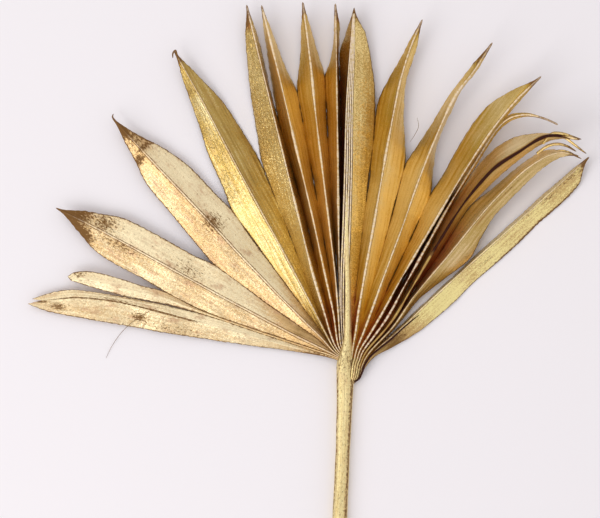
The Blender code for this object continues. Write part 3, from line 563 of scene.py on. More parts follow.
class Blade:
    """One segment before its relief: its points in mm, and where on the segment each of them lies.

    Arrays are rows along the segment by columns across it. Each row runs from the left margin over the rib to
    the right margin by across_shares. A half is the part between the rib and one margin.
    """

    def __init__(self, index, sizes):
        left, rib, right = segment_lines(index)
        left_width = np.linalg.norm(left - rib, axis=1)
        right_width = np.linalg.norm(right - rib, axis=1)
        narrow = np.maximum(np.minimum(left_width, right_width), 0.2)
        across, to_left, to_right = across_shares(np.clip(sizes.fold_radius / MM / narrow, 0.02, 0.3))
        self.index = index
        self.look = LOOKS[index]
        self.style = RIBS[self.look["rib"]]
        self.points = (
            rib[:, None, :]
            + to_left[:, :, None] * (left - rib)[:, None, :]
            + to_right[:, :, None] * (right - rib)[:, None, :]
        )
        self.outward = np.sign(across)[None, :, None] * (right - left)[:, None, :]
        self.across = across[None, :]
        self.half = np.where(self.across < 0, left_width[:, None], right_width[:, None])
        self.distance = np.abs(self.across) * self.half
        self.sideways = np.sign(self.across) * self.distance
        self.from_margin = self.half - self.distance
        self.walked = along(rib)[:, None] + np.zeros_like(self.distance)
        self.radius = np.hypot(self.points[:, :, 0], self.points[:, :, 1])
        start = self.style["from"]
        self.shown = step(self.radius, start, start + 8.0) * step(self.half, 0.6, 1.6)


def blade_relief(blade, sizes):
    """How far each point moves along its normal: the midrib's cord and grooves, the veins and the swells.

    Grooves, veins and swells fade out where the blade is narrow, and all of it does at the root.
    """
    wide = step(blade.half, 1.0, 5.0)
    height, reach = blade.style["cord"]
    relief = height * bump(blade.distance, reach)
    for place, depth, width in blade.style["grooves"]:
        groove = depth * bump(blade.distance - place, width)
        relief = relief - groove * blade.shown * step(blade.half, 1.5, 3.5)
    strength, wavelength, seed = VEIN_DRIFT
    drift = strength * ripple(blade.distance, 0.08 * blade.walked, wavelength, seed + blade.index)
    veins = np.sin(2.0 * math.pi * (blade.distance + drift) / (sizes.vein_spacing / MM))
    relief = relief + wide * step(blade.distance, 0.8, 2.2) * (sizes.vein_height / MM) * veins
    x, y = blade.points[:, :, 0], blade.points[:, :, 1]
    for strength, wavelength, seed in SWELLS:
        relief = relief + wide * strength * ripple(x, y, wavelength, seed)
    return relief * step(blade.walked, 4.0, 12.0)


def blade_surface(blade, sizes):
    """The blade's points in mm with its relief, its free margins wandering a little, and none in the floor.

    The first segment's margins count as free from near the head on, the others' from about their notches.
    """
    grid = blade.points + surface_normals(blade.points) * blade_relief(blade, sizes)[:, :, None]
    free = step(blade.radius, 80.0, 110.0) if blade.index > 0 else step(blade.radius, 20.0, 40.0)
    strength, wavelength, seed = MARGIN_WANDER
    wander = strength * ripple(blade.walked, 0.0 * blade.walked, wavelength, seed + blade.index)
    wander = wander * free * bump(blade.from_margin, WANDER_REACH) * step(blade.half, 0.8, 2.0)
    outward = blade.outward / np.maximum(np.linalg.norm(blade.outward, axis=2, keepdims=True), 1e-6)
    grid = grid + outward * wander[:, :, None]
    grid[:, :, 2] = np.maximum(grid[:, :, 2], 0.5 * sizes.thickness / MM + LIFT)
    return grid


def blade_brown(blade):
    """How brown each point is by its tip, its blotches and its midrib's dark lines, and the tip by itself."""
    tip = blade.look["dark_tip"]
    strength, wavelength, seed = TIP_WANDER
    wander = strength * ripple(blade.sideways, 0.3 * blade.walked, wavelength, seed + blade.index)
    end = blade.walked[-1, 0] + wander
    tipped = step(blade.walked, end - 1.3 * tip - 4.0, end - 0.3 * tip) * float(tip > 0)
    brown = TIP_BROWN * tipped
    for place, side, length, width, strength in blade.look.get("blotches", ()):
        offset = (blade.across - side) * blade.half
        brown = np.maximum(brown, strength * bump(blade.radius - place, length) * bump(offset, width))
    for place, width, strength in blade.style["dark"]:
        brown = np.maximum(brown, strength * blade.shown * bump(blade.distance - place, width))
    return brown, tipped


def blade_tone_and_painted_light(blade, tipped):
    """Paint depth with painted light: each half by its own table, blended over the rib, painted shade beside
    it.
    """
    left = tone_of(blade.look["left"], blade.radius, np.abs(blade.across))
    right = tone_of(blade.look["right"], blade.radius, np.abs(blade.across))
    middle = bump(blade.across, 0.04)
    tone = np.where(blade.across < 0, left, right) * (1.0 - middle) + 0.5 * (left + right) * middle
    reach, strength = blade.style["shade"]
    tone = np.maximum(tone, strength * blade.shown * bump(blade.distance, reach)) + 0.2 * tipped
    strength, wavelength, seed = TONE_DRIFT
    return tone + strength * ripple(0.6 * blade.sideways, 0.12 * blade.walked, wavelength, seed + blade.index)


def segment_grid(index, sizes):
    """The surface of one segment in mm, with its UV map, finish values and tone, by rows and columns."""
    blade = Blade(index, sizes)
    brown, tipped = blade_brown(blade)
    reach, strength = blade.style["light"]
    worn = np.clip(strength * bump(blade.distance, reach) - 0.7 * brown, 0.0, 1.0)
    finish = np.stack([worn, bump(blade.from_margin, MARGIN_WEAR), brown], axis=2)
    uv = np.stack([blade.sideways, blade.walked], axis=2) / UV_LENGTH
    return blade_surface(blade, sizes), uv, finish, blade_tone_and_painted_light(blade, tipped)


# The stalk's sections from its cut end to the point of the tongue that it sends up the middle segment: each
# one's y, left x, right x, bottom z and top z in mm.
STALK_SECTIONS = [
    (-240.0, -13.2, -6.0, 0.0, 5.9), (-200.0, -11.6, -4.4, 0.0, 6.0), (-160.0, -10.0, -2.8, 0.0, 6.0),
    (-120.0, -8.5, -1.2, 0.0, 5.9), (-76.0, -6.8, 0.6, 0.0, 6.0), (-42.0, -5.1, 2.0, 0.0, 6.0),
    (-18.0, -4.7, 3.3, 0.0, 6.1), (-7.0, -4.8, 4.1, 0.0, 6.3), (0.0, -5.0, 4.4, 0.2, 6.6),
    (4.0, -4.6, 4.3, 0.8, 6.9), (8.0, -2.9, 3.6, 1.8, 7.0), (12.0, -1.7, 3.0, 3.0, 7.0),
    (17.0, -1.1, 2.75, 3.6, 7.1), (33.0, -0.75, 2.6, 4.6, 8.1), (50.0, -0.8, 2.1, 6.6, 9.7),
    (68.0, -0.7, 1.6, 8.7, 11.1), (84.0, -0.4, 1.1, 10.1, 11.6), (94.0, 0.1, 0.5, 10.9, 11.6),
]

# The stalk's outline in section, as shares of its half width and of its height: a flat underside, round
# flanks, a broad crown and one facet that falls away to the right behind a low ridge.
STALK_OUTLINE = [
    (-0.80, 0.0), (-0.96, 0.16), (-1.0, 0.42), (-0.93, 0.72), (-0.72, 0.92), (-0.35, 1.0), (0.05, 0.99),
    (0.42, 0.97), (0.58, 0.88), (0.80, 0.66), (0.97, 0.42), (1.0, 0.25), (0.90, 0.06), (0.72, 0.0),
]
STALK_ROWS = 620  # rings along the stalk
STALK_SIDES = 96  # points in a ring
CUT_ROWS = 10  # rings that close the cut end
BAND_ROWS = 160  # points along a pleated band
BAND_COLUMNS = 49  # points across it
STRAND_ROWS = 90  # points along a strand
STRAND_COLUMNS = 9  # points across it
FIBRE_ROWS = 70  # rings along a fibre
FIBRE_SIDES = 8  # points in a ring of it

# Pleated bands. The gathered bases are those of the last segments, folded into a lip at the right of the
# head, and the costa is the stalk's grooved end, which runs up the middle segment. Each has its left and
# right line as (x, y, z) in mm, how many pleats it has, how high it bulges and its pleats stand in mm, and
# how light its ridges and how brown its grooves are.
BANDS = {
    "gathered_bases": (
        [(1.6, -9.4, 3.6), (2.2, -6.0, 4.9), (2.6, -2.0, 5.7), (3.0, 1.6, 5.8), (3.8, 4.4, 4.6)],
        [(3.9, -8.6, 1.6), (6.7, -6.1, 1.8), (8.0, -3.0, 2.3), (8.8, 0.4, 2.7), (10.4, 3.2, 2.2)],
        5, 0.9, 0.22, 0.15, 0.85,
    ),
    "costa": (
        [(-2.2, 10.0, 5.4), (-3.0, 26.0, 6.0), (-3.0, 43.0, 7.6), (-2.1, 68.0, 10.1), (-1.3, 93.0, 11.1),
         (0.1, 135.0, 10.9), (2.0, 160.0, 9.6), (3.5, 176.0, 7.6)],
        [(1.5, 10.0, 5.6), (1.4, 26.0, 6.2), (1.5, 43.0, 7.8), (2.4, 68.0, 10.2), (3.1, 93.0, 11.1),
         (3.6, 135.0, 10.9), (4.3, 160.0, 9.6), (4.2, 176.0, 7.6)],
        4, 0.3, 0.16, 1.0, 2.2,
    ),
}

# Split ends beyond the tips, the hooks of two tips and the dead edge that curls round the head's right side:
# the line down the middle of each as (x, y, z) in mm, its width in mm, how many degrees it leans over about
# its line, and how brown it is at its two ends.
STRANDS = {
    "strand_01": ([(98, 111, 20.5), (103, 116.0, 21.5), (108, 115.8, 22.2), (113, 114.2, 22.8),
                   (117, 113, 23.0)], 1.5, 20, (0.25, 0.85)),
    "strand_02": ([(106, 114.5, 20.8), (109, 113.8, 21.3), (112.5, 111.3, 21.8), (116, 108.6, 22.2),
                   (119.5, 106, 22.4)], 1.3, -25, (0.3, 0.85)),
    "strand_03": ([(95, 106, 17.5), (101, 110, 19.5), (105.5, 110.7, 20.4), (110, 109.6, 21.2),
                   (114.5, 107, 21.5)], 1.5, 15, (0.25, 0.85)),
    "strand_04": ([(96, 101.5, 17.0), (102, 106, 18.6), (106.5, 107.4, 19.2), (111, 106.6, 19.8),
                   (114.5, 104.8, 20.0), (117.2, 103.4, 20.0)], 1.3, -15, (0.25, 0.85)),
    "hook_01": ([(-84.4, 155.5, 8.2), (-85.2, 157.6, 8.4), (-86.3, 156.5, 8.0), (-86.6, 153.9, 7.4)],
                0.8, 10, (0.8, 1.0)),
    "hook_02": ([(-115.4, 122.8, 6.0), (-116.6, 124.4, 6.2), (-116.2, 125.9, 6.2)], 0.7, 10, (0.9, 1.0)),
    "curled_edge": ([(4.2, -7.9, 3.2), (6.4, -6.4, 3.8), (8.0, -3.2, 4.9), (9.4, 0.6, 5.6), (12.0, 4.6, 5.8),
                     (16.5, 8.6, 5.9), (22.0, 13.0, 6.2), (29.0, 19.4, 6.7), (36.5, 25.6, 7.1)],
                    1.05, 30, (1.6, 1.3)),
}

# Single fibres that have come away: each one's line as (x, y, z) in mm.
FIBRES = {
    "fibre_01": [(-93, 29.8, 5.2), (-99, 27.0, 5.2), (-105, 23.3, 4.6), (-112, 17.0, 2.6), (-117, 10.0, 1.0),
                 (-120, 4.0, 0.3)],
    "fibre_02": [(35.5, 124, 9.0), (36.2, 120, 7.5), (34.6, 116, 5.0), (32, 112, 3.0)],
}


def curve_through(points, count):
    """A smooth line through points, evenly spaced: cardinal cubics by the length between the points."""
    table = np.array(points, dtype=float)
    knots = along(table)
    tangents = np.gradient(table, knots, axis=0)
    at_fine = np.linspace(0.0, knots[-1], LINE_FINENESS * count)
    span = np.clip(np.searchsorted(knots, at_fine, side="right") - 1, 0, len(knots) - 2)
    width = (knots[span + 1] - knots[span])[:, None]
    t = (at_fine - knots[span])[:, None] / width
    fine = cubic(t, width, table[span], table[span + 1], tangents[span], tangents[span + 1])
    walked = along(fine)
    even = np.linspace(0.0, walked[-1], count)
    return np.stack([np.interp(even, walked, fine[:, k]) for k in range(3)], axis=1)


def square_to(path):
    """Unit vectors to the side of a line and over it, at each of its points."""
    forward = np.gradient(path, axis=0)
    forward = forward / np.linalg.norm(forward, axis=1, keepdims=True)
    side = np.cross(forward, (0.0, 0.0, 1.0))
    side = side / np.linalg.norm(side, axis=1, keepdims=True)
    return side, np.cross(side, forward)


def rounded_outline():
    """The stalk's outline in section as STALK_SIDES even points, with its corners rounded by a bell."""
    closed = np.array(STALK_OUTLINE + STALK_OUTLINE[:1])
    walked = along(closed)
    even = np.linspace(0.0, walked[-1], STALK_SIDES + 1)
    outline = np.stack([np.interp(even, walked, closed[:, k]) for k in range(2)], axis=1)[:-1]
    reach = np.arange(-6, 7)
    bell = np.exp(-0.5 * (reach / 1.9) ** 2)
    bell /= bell.sum()
    outline = sum(weight * np.roll(outline, shift, axis=0) for weight, shift in zip(bell, reach))
    return outline[::-1]


def stalk_relief(level, sizes):
    """Fibres along the stalk as waves around it that drift slowly, with low knots and dents from a ripple."""
    turn = np.linspace(0.0, 2.0 * math.pi, STALK_SIDES + 1)[None, :-1]
    fibres = np.zeros_like(level)
    for seed, count in enumerate((11, 17, 23, 31)):
        drift = ripple(0.05 * level, 0.6 * np.cos(turn) + 0.0 * level, 5.0, 200 + seed)
        fibres = fibres + np.sin(count * turn + 1.6 * drift) / 4.0
    return (sizes.stalk_groove / MM) * fibres + 0.16 * ripple(level * 0.22, np.cos(turn) * 4.0, 6.0, 31)


def cut_end(ring, middle):
    """Rings that grow from the middle of the cut to the stalk's first ring, each fibre broken where it is."""
    share = np.linspace(0.0, 1.0, CUT_ROWS + 1)[:-1, None, None]
    cut = middle + (ring - middle) * share
    ragged = 0.55 * ripple(cut[:, :, 0], cut[:, :, 2], 0.9, 55) * (1.0 - share[:, :, 0] ** 4)
    cut[:, :, 1] = ring[0, 0, 1] + ragged
    return cut


def stalk_grid(sizes):
    """The stalk as rings of one outline, stretched to each section's sides, bottom and top.

    The relief is left off the flat underside and fades to the point. Also gives how far to the right each
    point of the upper side is, by which the facet that falls away to the right is made browner and deeper in
    tone.
    """
    outline = rounded_outline()
    table = np.array(STALK_SECTIONS)
    rows = np.linspace(0.0, 1.0, STALK_ROWS)
    y = table[0, 0] + (table[-1, 0] - table[0, 0]) * rows
    sides = soften(np.stack([y] + [np.interp(y, table[:, 0], table[:, k]) for k in (1, 2)], axis=1), 1.6)
    levels = soften(np.stack([y] + [np.interp(y, table[:, 0], table[:, k]) for k in (3, 4)], axis=1), 1.6)
    left, right = sides[:, 1:2], sides[:, 2:3]
    low, high = levels[:, 1:2], levels[:, 2:3]
    x = 0.5 * (left + right) + 0.5 * (right - left) * outline[None, :, 0]
    z = low + (high - low) * outline[None, :, 1]
    level = y[:, None] + 0.0 * x
    grid = np.stack([x, level, z], axis=2)

    under = step(outline[None, :, 1], 0.02, 0.2)
    centre = np.stack([0.5 * (left + right), y[:, None], 0.5 * (low + high)], axis=2)
    spokes = grid - centre
    spokes[:, :, 1] = 0.0
    spokes = spokes / np.maximum(np.linalg.norm(spokes, axis=2, keepdims=True), 1e-6)
    size = step(right - left, 0.5, 6.0)
    grid = grid + spokes * (stalk_relief(level, sizes) * under * size)[:, :, None]
    nub = bump(grid[:, :, 0] - 3.4, 1.0) * bump(grid[:, :, 1] + 1.4, 1.1) * under
    grid[:, :, 2] = grid[:, :, 2] + 0.8 * nub

    grid = np.concatenate([cut_end(grid[0:1], centre[0:1]), grid], axis=0)
    facet = outline[None, :, 0] * step(outline[None, :, 1], 0.3, 0.6) * step(-grid[:, :, 1], -6.0, 6.0)
    return grid, facet


def rings_to_mesh(name, grid, uv, finish, tone):
    """A closed mesh from rings: the first ring is joined to the last column and the ends draw to a point."""
    wrap = [np.concatenate([part, part[:, :1]], axis=1) for part in (grid, uv, finish, tone)]
    wrap[1][:, -1, 0] = uv[:, 0, 0] + (uv[:, 1, 0] - uv[:, 0, 0]) * uv.shape[1]
    mesh = grid_mesh(name, *wrap)
    tidy = bmesh.new()
    tidy.from_mesh(mesh)
    bmesh.ops.remove_doubles(tidy, verts=tidy.verts, dist=1e-7)
    holes = [edge for edge in tidy.edges if edge.is_boundary]
    bmesh.ops.holes_fill(tidy, edges=holes)
    bmesh.ops.recalc_face_normals(tidy, faces=tidy.faces)
    tidy.to_mesh(mesh)
    tidy.free()
    mesh.shade_smooth()
    return mesh


def band_grid(left_points, right_points, pleats, bulge, depth, light, brown):
    """A pleated band: straight lines from the left to the right line, bulged and pleated lengthwise.

    The bulge is a half sine of the share across, and the pleats are waves of that share. Ridges are worn
    light, and the grooves between them are brown.
    """
    left = curve_through(left_points, BAND_ROWS)
    right = curve_through(right_points, BAND_ROWS)
    share = np.linspace(0.0, 1.0, BAND_COLUMNS)[None, :]
    grid = left[:, None, :] + share[:, :, None] * (right - left)[:, None, :]
    swell = bulge * np.sin(math.pi * share) - depth * np.cos(2.0 * math.pi * pleats * share)
    fade = step(np.linspace(0.0, 1.0, BAND_ROWS), 0.0, 0.35)[:, None]
    uneven = ripple(grid[:, :, 0], grid[:, :, 1], 2.5, 71)
    grid[:, :, 2] = grid[:, :, 2] + swell * fade + 0.4 * depth * uneven
    width = np.linalg.norm(right - left, axis=1)[:, None]
    uv = np.stack([share * width, along(right)[:, None] + 0.0 * share], axis=2) / UV_LENGTH
    ridge = 0.5 - 0.5 * np.cos(2.0 * math.pi * pleats * share) + 0.0 * width
    groove = step(1.0 - ridge, 0.15, 0.50)
    finish = np.stack([light * step(ridge, 0.62, 0.97), 0.0 * ridge, brown * groove], axis=2)
    return grid[:, ::-1], uv[:, ::-1], finish[:, ::-1], (0.7 + 0.0 * ridge)[:, ::-1]


def strand_grid(points, width, lean, browns):
    """A narrow leaf end along a line: a shallow fold whose width swells, then runs out to a point."""
    path = curve_through(points, STRAND_ROWS)
    s = np.linspace(0.0, 1.0, STRAND_ROWS)[:, None]
    t = np.linspace(-1.0, 1.0, STRAND_COLUMNS)[None, :]
    side, over = square_to(path)
    turn = np.radians(lean * (0.4 + 1.2 * s))
    across = side * np.cos(turn) + over * np.sin(turn)
    upward = over * np.cos(turn) - side * np.sin(turn)
    half = 0.5 * width * np.minimum(0.8 + 0.4 * s, 1.0) * np.sqrt(np.clip(1.0 - s**3, 0.0, 1.0)) + 0.02
    grid = path[:, None, :] + (t * half)[:, :, None] * across[:, None, :]
    grid = grid + (0.35 * half * (1.0 - np.abs(t)))[:, :, None] * upward[:, None, :]
    uv = np.stack([t * half, along(path)[:, None] + 0.0 * t], axis=2) / UV_LENGTH
    brown = browns[0] + (browns[1] - browns[0]) * step(s, 0.5, 1.0) + 0.0 * t
    light = np.clip(0.6 * bump(t, 0.4) - 0.6 * brown, 0.0, 1.0)
    finish = np.stack([light, step(np.abs(t), 0.6, 1.0) + 0.0 * s, brown], axis=2)
    return grid, uv, finish, 0.6 + 0.0 * brown


def fibre_grid(points, radius):
    """A round hair along a line, thinner to its ends: circles turned square to the line."""
    path = curve_through(points, FIBRE_ROWS)
    turn = np.linspace(0.0, 2.0 * math.pi, FIBRE_SIDES + 1)[None, :-1]
    s = np.linspace(0.0, 1.0, FIBRE_ROWS)[:, None]
    side, over = square_to(path)
    size = radius * (0.25 + 0.75 * np.sqrt(np.sin(math.pi * np.clip(s, 0.02, 0.98))))
    ring = np.cos(turn)[:, :, None] * side[:, None, :] + np.sin(turn)[:, :, None] * over[:, None, :]
    grid = path[:, None, :] + size[:, :, None] * ring
    uv = np.stack([turn * size, along(path)[:, None] + 0.0 * turn], axis=2) / UV_LENGTH
    plain = np.zeros((FIBRE_ROWS, FIBRE_SIDES))
    return grid, uv, np.stack([plain, plain, plain + 0.75], axis=2), plain + 0.6


# ---------------------------------------------------------------------------------------------------------
# Materials
# ---------------------------------------------------------------------------------------------------------

# Each gold paint: how rough it is, how far its flakes tilt, how much of it is specked with bare leaf, how
# strongly it is streaked, how far its flakes differ in depth, how much warm blush shows through it, and which
# colour it darkens to as painted shade.
PAINTS = {
    "champagne": {"rough": 0.44, "tilt": 0.22, "specks": 1.00, "streaks": 0.8, "sparkle": 0.6,
                  "blush": 0.8, "dark": "pale_gold_painted_shade"},
    "bright": {"rough": 0.38, "tilt": 0.24, "specks": 0.45, "streaks": 1.3, "sparkle": 0.5,
               "blush": 0.2, "dark": "pale_gold_painted_shade"},
    "glitter": {"rough": 0.34, "tilt": 0.36, "specks": 0.60, "streaks": 0.8, "sparkle": 1.1,
                "blush": 0.1, "dark": "fold_painted_shade"},
    "amber": {"rough": 0.36, "tilt": 0.16, "specks": 0.15, "streaks": 1.9, "sparkle": 0.4,
              "blush": 0.0, "dark": "fold_painted_shade"},
    "olive": {"rough": 0.38, "tilt": 0.18, "specks": 0.30, "streaks": 1.6, "sparkle": 0.4,
              "blush": 0.1, "dark": "fold_painted_shade"},
    "speckled": {"rough": 0.34, "tilt": 0.32, "specks": 0.75, "streaks": 1.5, "sparkle": 0.9,
                 "blush": 0.3, "dark": "pale_gold_painted_shade"},
    "stalk": {"rough": 0.46, "tilt": 0.22, "specks": 1.20, "streaks": 1.2, "sparkle": 0.6,
              "blush": 0.3, "dark": "pale_gold_painted_shade"},
}

# How often each pattern repeats in a unit of the UV map, across and along a piece, or in a mm of space.
STREAKS = (75.0, 3.2, 1.0)
FIBRE_GRAIN = (260.0, 8.0, 1.0)
SPECKS = (120.0, 60.0, 1.0)
BLUSH_PATCHES = (22.0, 8.0, 1.0)
WORN_DOTS = (90.0, 66.0, 1.0)
CLOUDS = (0.055, 0.055, 0.055)
FLAKES = (2.2, 2.2, 2.2)
FLOOR_CLOUDS = (3.0, 3.0, 3.0)  # in a metre of space
RIDGE_HEIGHT = 0.00012  # metres that the fibres stand up
LEAF_SHINE = 0.12  # specular level of the paint and the bare leaf


class Nodes:
    """A material's node tree, with short calls for the few kinds of node that the golds use."""

    def __init__(self, name):
        self.material = bpy.data.materials.new(name)
        self.material.use_nodes = True
        self.tree = self.material.node_tree
        self.shader = self.tree.nodes["Principled BSDF"]
        self.count = 0

    def add(self, kind, **settings):
        """A new node, placed in a row behind the shader, with the given properties."""
        node = self.tree.nodes.new(kind)
        node.location = (-240 * (self.count % 8) - 300, -260 * (self.count // 8) + 400)
        self.count += 1
        for key, value in settings.items():
            setattr(node, key, value)
        return node

    def put(self, value, socket):
        """A link into a socket, or its value where it isn't a socket itself."""
        if isinstance(value, bpy.types.NodeSocket):
            self.tree.links.new(value, socket)
        else:
            socket.default_value = value

    def math(self, operation, first, second, clamp=False):
        """One Math node."""
        node = self.add("ShaderNodeMath", operation=operation, use_clamp=clamp)
        self.put(first, node.inputs[0])
        self.put(second, node.inputs[1])
        return node.outputs[0]

    def scaled(self, value, factor, offset):
        """A value times a factor plus an offset."""
        return self.math("ADD", self.math("MULTIPLY", value, factor), offset)

    def swing(self, value, strength):
        """A value between 0 and 1 turned into a swing about 0."""
        return self.math("MULTIPLY", self.math("SUBTRACT", value, 0.5), strength)

    def blend(self, share, first, second):
        """Two colours mixed by a share."""
        node = self.add("ShaderNodeMix", data_type="RGBA")
        self.put(share, node.inputs[0])
        self.put(first, node.inputs[6])
        self.put(second, node.inputs[7])
        return node.outputs[2]

    def ramp(self, value, start, end):
        """0 below start and 1 above end."""
        node = self.add("ShaderNodeMapRange", interpolation_type="SMOOTHSTEP")
        self.put(value, node.inputs["Value"])
        node.inputs["From Min"].default_value = start
        node.inputs["From Max"].default_value = end
        return node.outputs["Result"]

    def stretched(self, vector, scale):
        """A vector scaled differently along each axis."""
        node = self.add("ShaderNodeMapping")
        self.put(vector, node.inputs["Vector"])
        node.inputs["Scale"].default_value = scale
        return node.outputs["Vector"]

    def noise(self, vector, detail=3.0, roughness=0.55):
        """Noise at a scale of 1 on a vector that is already scaled."""
        node = self.add("ShaderNodeTexNoise")
        self.put(vector, node.inputs["Vector"])
        node.inputs["Scale"].default_value = 1.0
        node.inputs["Detail"].default_value = detail
        node.inputs["Roughness"].default_value = roughness
        return node.outputs["Fac"]


def film_colour(nodes, name, colours, uv, place, sparkle, depth):
    """The paint's colour: pale to deep by streaks, clouds and flakes, dark in painted shade, blushed in
    patches.
    """
    paint = PAINTS[name]
    streaks = nodes.noise(nodes.stretched(uv, STREAKS), 4.0)
    clouds = nodes.noise(nodes.stretched(place, CLOUDS), 3.0)
    uneven = nodes.math("ADD", nodes.swing(streaks, 1.6 * paint["streaks"]), nodes.swing(clouds, 0.8))
    depth = nodes.math("ADD", uneven, depth)
    pale, deep = getattr(colours, name + "_pale"), getattr(colours, name + "_deep")
    mixed = nodes.math("ADD", depth, nodes.swing(sparkle, paint["sparkle"]), clamp=True)
    gold = nodes.blend(mixed, (*pale, 1.0), (*deep, 1.0))
    # Painted shade: past a depth of 0.95 the gold turns toward the paint's dark colour, fully at 2.
    gold = nodes.blend(nodes.ramp(depth, 0.95, 2.0), gold, (*getattr(colours, paint["dark"]), 1.0))
    blush = nodes.ramp(nodes.noise(nodes.stretched(uv, BLUSH_PATCHES), 3.0, 0.65), 0.50, 0.72)
    return nodes.blend(nodes.math("MULTIPLY", blush, paint["blush"]), gold, (*colours.blush, 1.0))


def bare_share(nodes, specks, uv, margin, brown):
    """How bare the leaf is: in specks, and more of them at a margin and in a stain."""
    grain = nodes.noise(nodes.stretched(uv, SPECKS), 3.0, 0.7)
    cover = nodes.math("ADD", nodes.swing(grain, 1.5), nodes.math("MULTIPLY", brown, 0.85))
    cover = nodes.math("ADD", cover, nodes.math("MULTIPLY", margin, 0.50))
    return nodes.ramp(nodes.math("ADD", cover, 0.27 * specks), 0.38, 0.68)


def flake_normal(nodes, flakes, tilt, height):
    """The normal of fibres standing up by a height, then tilted by each flake's own colour."""
    lean = nodes.add("ShaderNodeVectorMath", operation="SUBTRACT")
    nodes.put(flakes, lean.inputs[0])
    lean.inputs[1].default_value = (0.5, 0.5, 0.5)
    scaled = nodes.add("ShaderNodeVectorMath", operation="SCALE")
    nodes.put(lean.outputs[0], scaled.inputs[0])
    scaled.inputs["Scale"].default_value = tilt
    ridges = nodes.add("ShaderNodeBump")
    ridges.inputs["Strength"].default_value = 0.55
    ridges.inputs["Distance"].default_value = RIDGE_HEIGHT
    nodes.put(height, ridges.inputs["Height"])
    total = nodes.add("ShaderNodeVectorMath", operation="ADD")
    nodes.put(ridges.outputs["Normal"], total.inputs[0])
    nodes.put(scaled.outputs[0], total.inputs[1])
    unit = nodes.add("ShaderNodeVectorMath", operation="NORMALIZE")
    nodes.put(total.outputs[0], unit.inputs[0])
    return unit.outputs[0]


def gold_paint(name, colours):
    """Gold spray paint on a dried leaf, from the piece's UV map, its finish attribute and its own place.

    The paint runs from pale to deep along streaks and by a tone that holds painted light and shade, and turns
    to its dark colour as painted shade. Its flakes tilt the normal cell by cell, and bare brown leaf shows at
    specks, stains, margins and the sides of the midrib, whose top is worn light in dots.
    """
    paint = PAINTS[name]
    nodes = Nodes("gold_" + name)
    uv = nodes.add("ShaderNodeUVMap", uv_map="blade").outputs["UV"]
    place = nodes.stretched(nodes.add("ShaderNodeTexCoord").outputs["Object"], (1.0 / MM, 1.0 / MM, 1.0 / MM))
    finish = nodes.add("ShaderNodeAttribute", attribute_name="finish", attribute_type="GEOMETRY")
    parts = nodes.add("ShaderNodeSeparateColor")
    nodes.put(finish.outputs["Color"], parts.inputs["Color"])
    light, margin, brown = parts.outputs["Red"], parts.outputs["Green"], parts.outputs["Blue"]
    fibres = nodes.noise(nodes.stretched(uv, FIBRE_GRAIN), 2.0)
    flakes = nodes.add("ShaderNodeTexVoronoi")
    nodes.put(nodes.stretched(place, FLAKES), flakes.inputs["Vector"])
    flakes.inputs["Scale"].default_value = 1.0
    flake = nodes.add("ShaderNodeSeparateColor")
    nodes.put(flakes.outputs["Color"], flake.inputs["Color"])

    # The depth is the tone from the finish attribute, which holds painted light and shade, deepened by brown.
    depth = nodes.math("ADD", finish.outputs["Alpha"], nodes.math("MULTIPLY", brown, 0.7))
    gold = film_colour(nodes, name, colours, uv, place, flake.outputs["Blue"], depth)
    bare = bare_share(nodes, paint["specks"], uv, margin, brown)
    leaf = nodes.blend(fibres, (*colours.leaf_dark, 1.0), (*colours.leaf_light, 1.0))
    leaf = nodes.blend(nodes.ramp(brown, 0.9, 1.4), leaf, (*colours.leaf_black, 1.0))
    dots = nodes.ramp(nodes.noise(nodes.stretched(uv, WORN_DOTS), 1.0), 0.42, 0.54)
    worn = nodes.math("MULTIPLY", light, nodes.scaled(dots, 0.62, 0.38), clamp=True)
    base = nodes.blend(worn, nodes.blend(bare, gold, leaf), (*colours.rib, 1.0))
    nodes.put(base, nodes.shader.inputs["Base Color"])

    dull = nodes.math("MAXIMUM", bare, nodes.math("MULTIPLY", worn, 0.8))
    metal = nodes.math("SUBTRACT", 0.95, nodes.math("MULTIPLY", dull, 0.75), clamp=True)
    nodes.put(metal, nodes.shader.inputs["Metallic"])
    rough = nodes.scaled(fibres, 0.16, paint["rough"] - 0.08)
    rough = nodes.math("ADD", rough, nodes.math("MULTIPLY", dull, 0.22), clamp=True)
    nodes.put(rough, nodes.shader.inputs["Roughness"])
    nodes.shader.inputs["Specular IOR Level"].default_value = LEAF_SHINE
    height = nodes.math("SUBTRACT", fibres, nodes.math("MULTIPLY", bare, 0.5))
    normal = flake_normal(nodes, flakes.outputs["Color"], paint["tilt"], height)
    nodes.put(normal, nodes.shader.inputs["Normal"])
    return nodes.material


def gold_of(name):
    """A gold paint's material, made the first time that it is asked for."""
    found = bpy.data.materials.get("gold_" + name)
    return found or gold_paint(name, bpy.context.scene.palm_leaf_colours)


def studio_floor(colours):
    """Matt painted board, in places a shade darker."""
    nodes = Nodes("studio_floor")
    place = nodes.add("ShaderNodeTexCoord").outputs["Object"]
    soft = nodes.noise(nodes.stretched(place, FLOOR_CLOUDS), 2.0)
    shade = [0.985 * part for part in colours.floor]
    nodes.put(nodes.blend(soft, (*colours.floor, 1.0), (*shade, 1.0)), nodes.shader.inputs["Base Color"])
    nodes.shader.inputs["Roughness"].default_value = 0.75
    nodes.shader.inputs["Specular IOR Level"].default_value = 0.25
    return nodes.material


# ---------------------------------------------------------------------------------------------------------
# Pieces
# ---------------------------------------------------------------------------------------------------------

